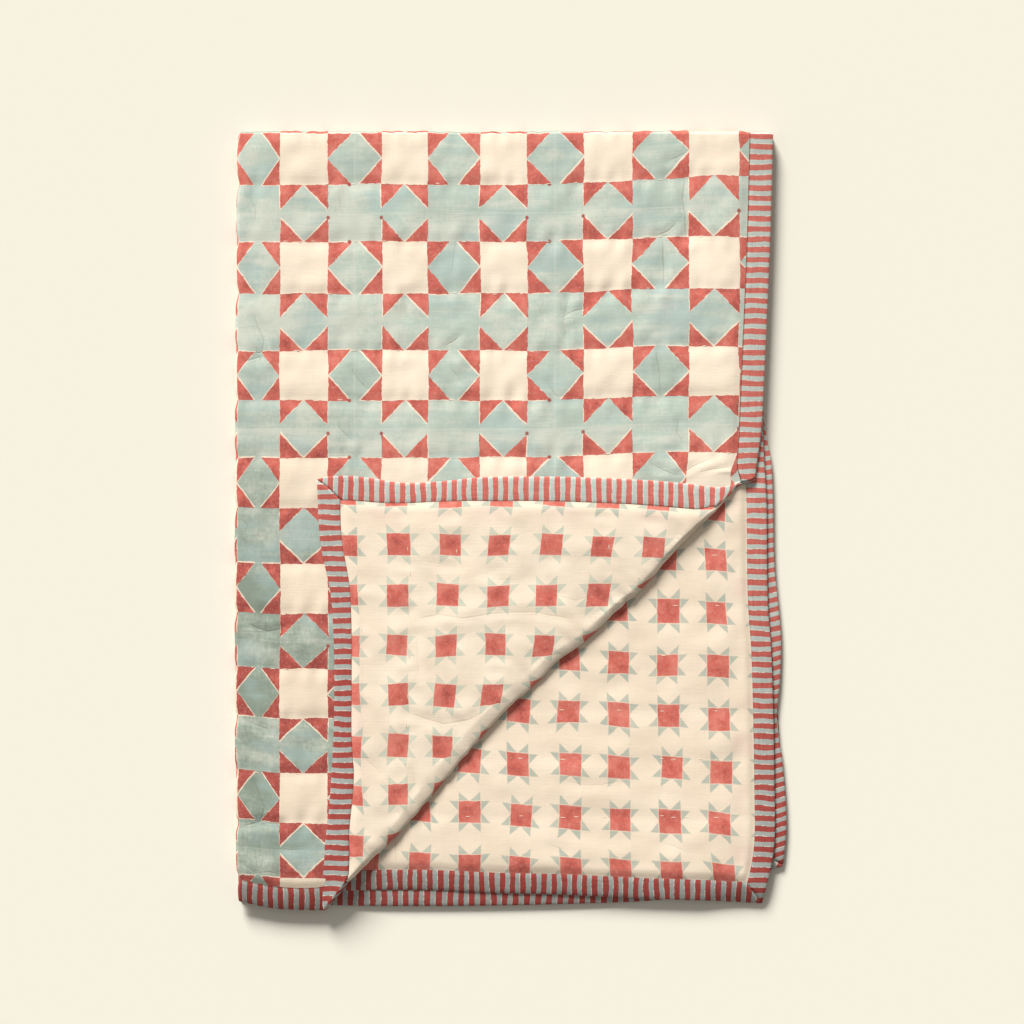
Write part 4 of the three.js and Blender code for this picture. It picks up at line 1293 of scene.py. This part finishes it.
# Teal dye: each block of the print was charged with a different amount, and it dried in clouds and streaks.
def tealDye(checks, fromSeam, charge, streaks, tealRow, lower):
    clouds = (noise(checks, *cotton["cloudNoise"]) - cotton["cloudMiddle"]) * cotton["cloud"]
    brush = noise(checks * cotton["brushSize"], *cotton["brushNoise"])
    clouds += swing(brush, cotton["brush"]) + swing(noise(checks, *cotton["fleckNoise"]), cotton["fleck"])
    inBlock = parts(calc("FRACTION", fromSeam))[1]
    thick = charge * cotton["charge"] + luck(calc("FLOOR", checks)) * cotton["ownCharge"] + clouds
    thick += inBlock ** cotton["pooledPower"] * cotton["pooled"] + swing(streaks, cotton["streak"])
    thick += tealRow * cotton["squareInk"] + cotton["inkStart"]
    ink = mixColours(softStep(thick, *cotton["midAt"]), cotton["tealPale"], cotton["tealMid"])
    deepest = softStep(thick, *cotton["deepAt"]) * cotton["deep"]
    # painted shade: the teal is darker in the lower rows beside the fold
    deepen = lower * (thick * cotton["lowerDeep"] + cotton["lowerStart"])
    ink = mixColours(calc("ADD", deepest, deepen, clamp=True), ink, cotton["tealDeep"])
    blue = softStep(brush * cotton["blueBrush"] + noise(checks, *cotton["blueNoise"]), *cotton["blueAt"])
    return mixColours(blue * (lower * cotton["blueLower"] + cotton["blue"]), ink, cotton["tealBlue"])


# The face: a check of cream squares, teal squares and teal diamonds between red corners, printed in blocks.
def facePrint():
    material, tree, shader = startMaterial("facePrint", cotton)
    checks = clothCoordinates(tree)
    fromSeam = (checks - cotton["blockMiddle"]) * (1 / cotton["blockSide"], 1 / cotton["blockSide"], 0)
    block = calc("FLOOR", fromSeam)
    gap, soft = cotton["gap"], cotton["edgeSoft"]
    uneven = swing(noise(checks, *cotton["neckNoise"]), cotton["neckUneven"])

    # teal: diamonds that run out into the squares beside them, and those squares
    a, b, isDiamond, slant, tealRow = checkPlace(inkCoordinates(checks, block, cotton["tealBlock"]), uneven)
    diamond = isDiamond * (1 - softStep(slant, 0.5 - gap, soft))
    atNeck = 1 - softStep(calc("MINIMUM", a, b), *cotton["neckAt"])
    border = atNeck * cotton["neckBleed"] + (0.5 - calc("MAXIMUM", a, b))
    square = calc("SUBTRACT", tealRow, isDiamond, clamp=True) * softStep(border, cotton["inset"], soft)
    teal = calc("MAXIMUM", diamond, square)

    # red: the four corners round a diamond
    _, _, isDiamond, slant, tealRow = checkPlace(inkCoordinates(checks, block, cotton["redBlock"]), uneven)
    red = isDiamond * softStep(slant, 0.5 + gap, soft)

    charge, streaks = luck(block), slubs(checks, cotton["slubs"])
    column, row = parts(checks)
    # painted shade: lower is 1 in the lower rows beside the fold, and darkens the teal, the red and the cream
    # there
    lower = softStep(row, *cotton["lowerAt"]) * (1 - softStep(column, *cotton["foldAt"]))
    dots, joins = blockJoins(checks)
    tealInk = tealDye(checks, fromSeam, charge, streaks, tealRow, lower)
    tealInk = mixColours(joins * (cotton["join"] - lower * cotton["joinLower"]), tealInk, cotton["tealPale"])
    # painted shade: the red is charged deeper in the lower rows beside the fold
    redInk = redDye(checks, lower * cotton["redLower"] + charge * cotton["redCharge"])
    colour = creamCloth(checks, streaks, lower * cotton["creamLower"])
    colour = mixColours(teal * cotton["inked"], colour, tealInk)
    colour = mixColours(red * cotton["inked"], colour, redInk)
    colour = mixColours(red * teal * cotton["overlapped"], colour, cotton["overlap"])
    colour = mixColours(dots * cotton["dots"], colour, cotton["redDeep"])
    # painted shade: the end fold is darkened
    colour = mixColours(ownAttribute(tree, "paintedFoldShade"), colour, cotton["paintedFoldShade"], "MULTIPLY")
    crinkled(shader, checks, streaks, colour, cotton["faceCrease"])
    return material


# The reverse: rows of small stars, each a red square with eight points round it, printed one by one.
def reversePrint():
    material, tree, shader = startMaterial("reversePrint", cotton)
    stars, tone = clothCoordinates(tree), ownAttribute(tree, "tone")
    slow = drift(noise(stars, *cotton["starSwayNoise"], output=1), cotton["starSway"])
    fast = drift(noise(stars, *cotton["starRaggedNoise"], output=1), cotton["starRagged"])
    place = stars + (slow + fast) + (0.5, 0.5, 0)
    whole = calc("FLOOR", place)
    middle = drift(luck(whole, "Color"), cotton["starMisfit"]) + (0.5, 0.5, 0)
    offX, offY = parts(calc("FRACTION", place) - middle)
    leanX, leanY = parts(drift(luck(whole + cotton["skewDraw"], "Color"), cotton["skew"]))
    size = swing(luck(whole + cotton["sizeDraw"]), cotton["ownSize"]) + 1.0
    a, b = size * abs(offY * leanX + offX), size * abs(offX * leanY + offY)
    far, near = calc("MAXIMUM", a, b), calc("MINIMUM", a, b)
    square, soft = cotton["starSquare"], cotton["starSoft"]
    red = 1 - softStep(far, square, soft)

    # a point of the star: outside the square, no wider than it, and inside the slant from its corner
    outside = softStep(far, square + cotton["starGap"], soft)
    slant = near / square - (far - square) / (cotton["starReach"] - square)
    points = outside * (1 - softStep(near, square, soft)) * softStep(slant, *cotton["pointAt"])

    streaks = slubs(stars, cotton["slubs"])
    charge = luck(whole + cotton["chargeDraw"]) * cotton["starCharge"] - cotton["starStart"]
    redInk = redDye(stars, charge + (square - far) * cotton["starMiddle"])
    starInk = mixColours(tone, cotton["starGreen"], cotton["starGrey"])
    band = 1 - softStep(near, square, cotton["bandSoft"])
    darkening = tone * cotton["darkeningTone"] - band * cotton["darkeningBand"] + cotton["darkening"]
    cream = creamCloth(stars, streaks, darkening)
    cream = mixColours(ownAttribute(tree, "blush") * cotton["blush"], cream, cotton["pink"])
    faded = noise(stars, *cotton["fadeNoise"]) * cotton["fade"]
    faded += tone * cotton["fadeTone"] + cotton["fadeStart"]
    colour = mixColours(calc("MULTIPLY", points, faded, clamp=True), cream, starInk)
    colour = mixColours(red * cotton["inked"], colour, redInk)
    crinkled(shader, stars, streaks, colour, cotton["backCrease"])
    return material


stripes = {
    "roughness": 0.92, "specular": 0.25, "sheen": 0.04,
    "red": (0.600, 0.165, 0.128), "redDark": (0.470, 0.105, 0.082), "grey": (0.510, 0.540, 0.475),
    "greyDark": (0.410, 0.450, 0.400), "white": (0.780, 0.700, 0.590),
    "paintedShadeRed": (0.63, 0.41, 0.41), "paintedShadeGrey": (0.75, 0.73, 0.75), "seamShade": (0.42, 0.33, 0.28),
    "redAt": (0.535, 0.025), "line": 0.565, "lineAt": (0.035, 0.02), "whitened": 0.75,
    "swayNoise": (1.0, 2.0), "swaySize": (0.35, 0.9, 1.0), "sway": 0.34,
    "raggedNoise": (1.0, 4.0, 0.7), "raggedSize": (2.0, 9.0, 1.0), "ragged": 0.13,
    "brokenNoise": (1.0, 2.0), "brokenSize": (1.5, 5.0, 1.0), "brokenAt": (0.5, 0.08),
    "slubs": 9.0, "shadeAt": (0.5, 0.22), "seamAt": (0.945, 0.02), "weave": 0.35, "weaveHeight": 0.4,
}


# Striped binding cloth: red and grey-blue by turns along the strip, a ragged white line at one side of a red.
def stripedCloth():
    material, tree, shader = startMaterial("stripedBinding", stripes)
    strip, deep = clothCoordinates(tree), ownAttribute(tree, "deep")
    sway, ragged = [
        swing(noise(strip * stripes[name + "Size"], *stripes[name + "Noise"]), stripes[name])
        for name in ("sway", "ragged")]
    along, across = parts(strip)
    place = calc("FRACT", along + (sway + ragged))
    streaks = slubs(strip, stripes["slubs"])
    shade = softStep(streaks, *stripes["shadeAt"])
    redInk = mixColours(shade, stripes["red"], stripes["redDark"])
    # painted shade: the deep attribute multiplies both inks darker
    redInk = mixColours(deep, redInk, stripes["paintedShadeRed"], "MULTIPLY")
    greyInk = mixColours(shade, stripes["grey"], stripes["greyDark"])
    greyInk = mixColours(deep, greyInk, stripes["paintedShadeGrey"], "MULTIPLY")
    colour = mixColours(1 - softStep(place, *stripes["redAt"]), greyInk, redInk)
    line = 1 - softStep(abs(place - stripes["line"]), *stripes["lineAt"])
    broken = softStep(noise(strip * stripes["brokenSize"], *stripes["brokenNoise"]), *stripes["brokenAt"])
    colour = mixColours(line * broken * stripes["whitened"], colour, stripes["white"])
    # painted shadow along the strip's inner seam
    seam = softStep(across, *stripes["seamAt"]) * ownAttribute(tree, "seam")
    plug(mixColours(seam, colour, stripes["seamShade"], "MULTIPLY"), shader.inputs["Base Color"])
    bumped(shader, streaks, stripes["weave"], stripes["weaveHeight"] * mm)
    return material


studio = {
    "floor": (0.800, 0.757, 0.650), "floorSide": 6.0, "roughness": 1.0, "specular": 0.0, "sheen": 0.0,
    "sunStrength": 6.39, "sunSize": 20.0, "sunHeight": 25.0, "sunHeading": -18.0,
    "fill": 0.31, "fillColour": (1.0, 0.985, 0.955),
    "lens": 100.0, "imageWidth": 1177.6, "imageCentre": (0.6, 9.8), "focusZ": 20.0,
}


def makeFloor():
    half = studio["floorSide"] / 2
    mesh = bpy.data.meshes.new("floor")
    corners = [(-half, -half, 0), (half, -half, 0), (half, half, 0), (-half, half, 0)]
    mesh.from_pydata(corners, [], [(0, 1, 2, 3)])
    material, _, shader = startMaterial("paleFloor", studio)
    shader.inputs["Base Color"].default_value = (*studio["floor"], 1.0)
    mesh.materials.append(material)
    floor = bpy.data.objects.new("floor", mesh)
    bpy.context.scene.collection.objects.link(floor)


def makeLight():
    sun = bpy.data.lights.new("key", "SUN")
    sun.energy = studio["sunStrength"]
    sun.angle = math.radians(studio["sunSize"])
    lamp = bpy.data.objects.new("key", sun)
    lamp.rotation_euler = (math.radians(studio["sunHeight"] - 90), 0, math.radians(-studio["sunHeading"]))
    bpy.context.scene.collection.objects.link(lamp)
    world = bpy.data.worlds.new("studio")
    bpy.context.scene.world = world
    world.use_nodes = True
    background = world.node_tree.nodes["Background"]
    background.inputs["Color"].default_value = (*studio["fillColour"], 1.0)
    background.inputs["Strength"].default_value = studio["fill"]


def makeCamera():
    data = bpy.data.cameras.new("above")
    data.lens = studio["lens"]
    camera = bpy.data.objects.new("above", data)
    height = studio["imageWidth"] / data.sensor_width * data.lens + studio["focusZ"]
    x, y = np.array(studio["imageCentre"]) + folded["originShift"]
    camera.location = (x * mm, y * mm, height * mm)
    bpy.context.scene.collection.objects.link(camera)
    bpy.context.scene.camera = camera


makeCamera()
makeLight()
makeFloor()
bpy.context.scene.view_settings.view_transform = "Standard"
print("studio made")

striped = stripedCloth()
quilt, clothGrid = quiltPiece([facePrint(), reversePrint()])
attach(quilt, "root")
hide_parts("quilt")
print("quilted cloth made:", len(quilt.data.polygons), "faces")

stripStations = {
    "binding_outer_side": outerSideStations, "binding_inner_side": innerSideStations,
    "binding_upper_end": upperEndStations, "binding_lower_end": lowerEndStations,
}
for seed, (node, stations) in enumerate(stripStations.items(), bindings["firstSeed"]):
    strip = bindingPiece(node.replace("_", "-"), stations, bindings["widths"][node], striped, seed)
    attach(strip, "root")
    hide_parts(node)
    print(node, "made:", len(strip.data.polygons), "faces")

stitches = stitchPiece(clothGrid, threadCotton())
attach(stitches, "root")
print("stitches made:", len(stitches.data.polygons), "faces")
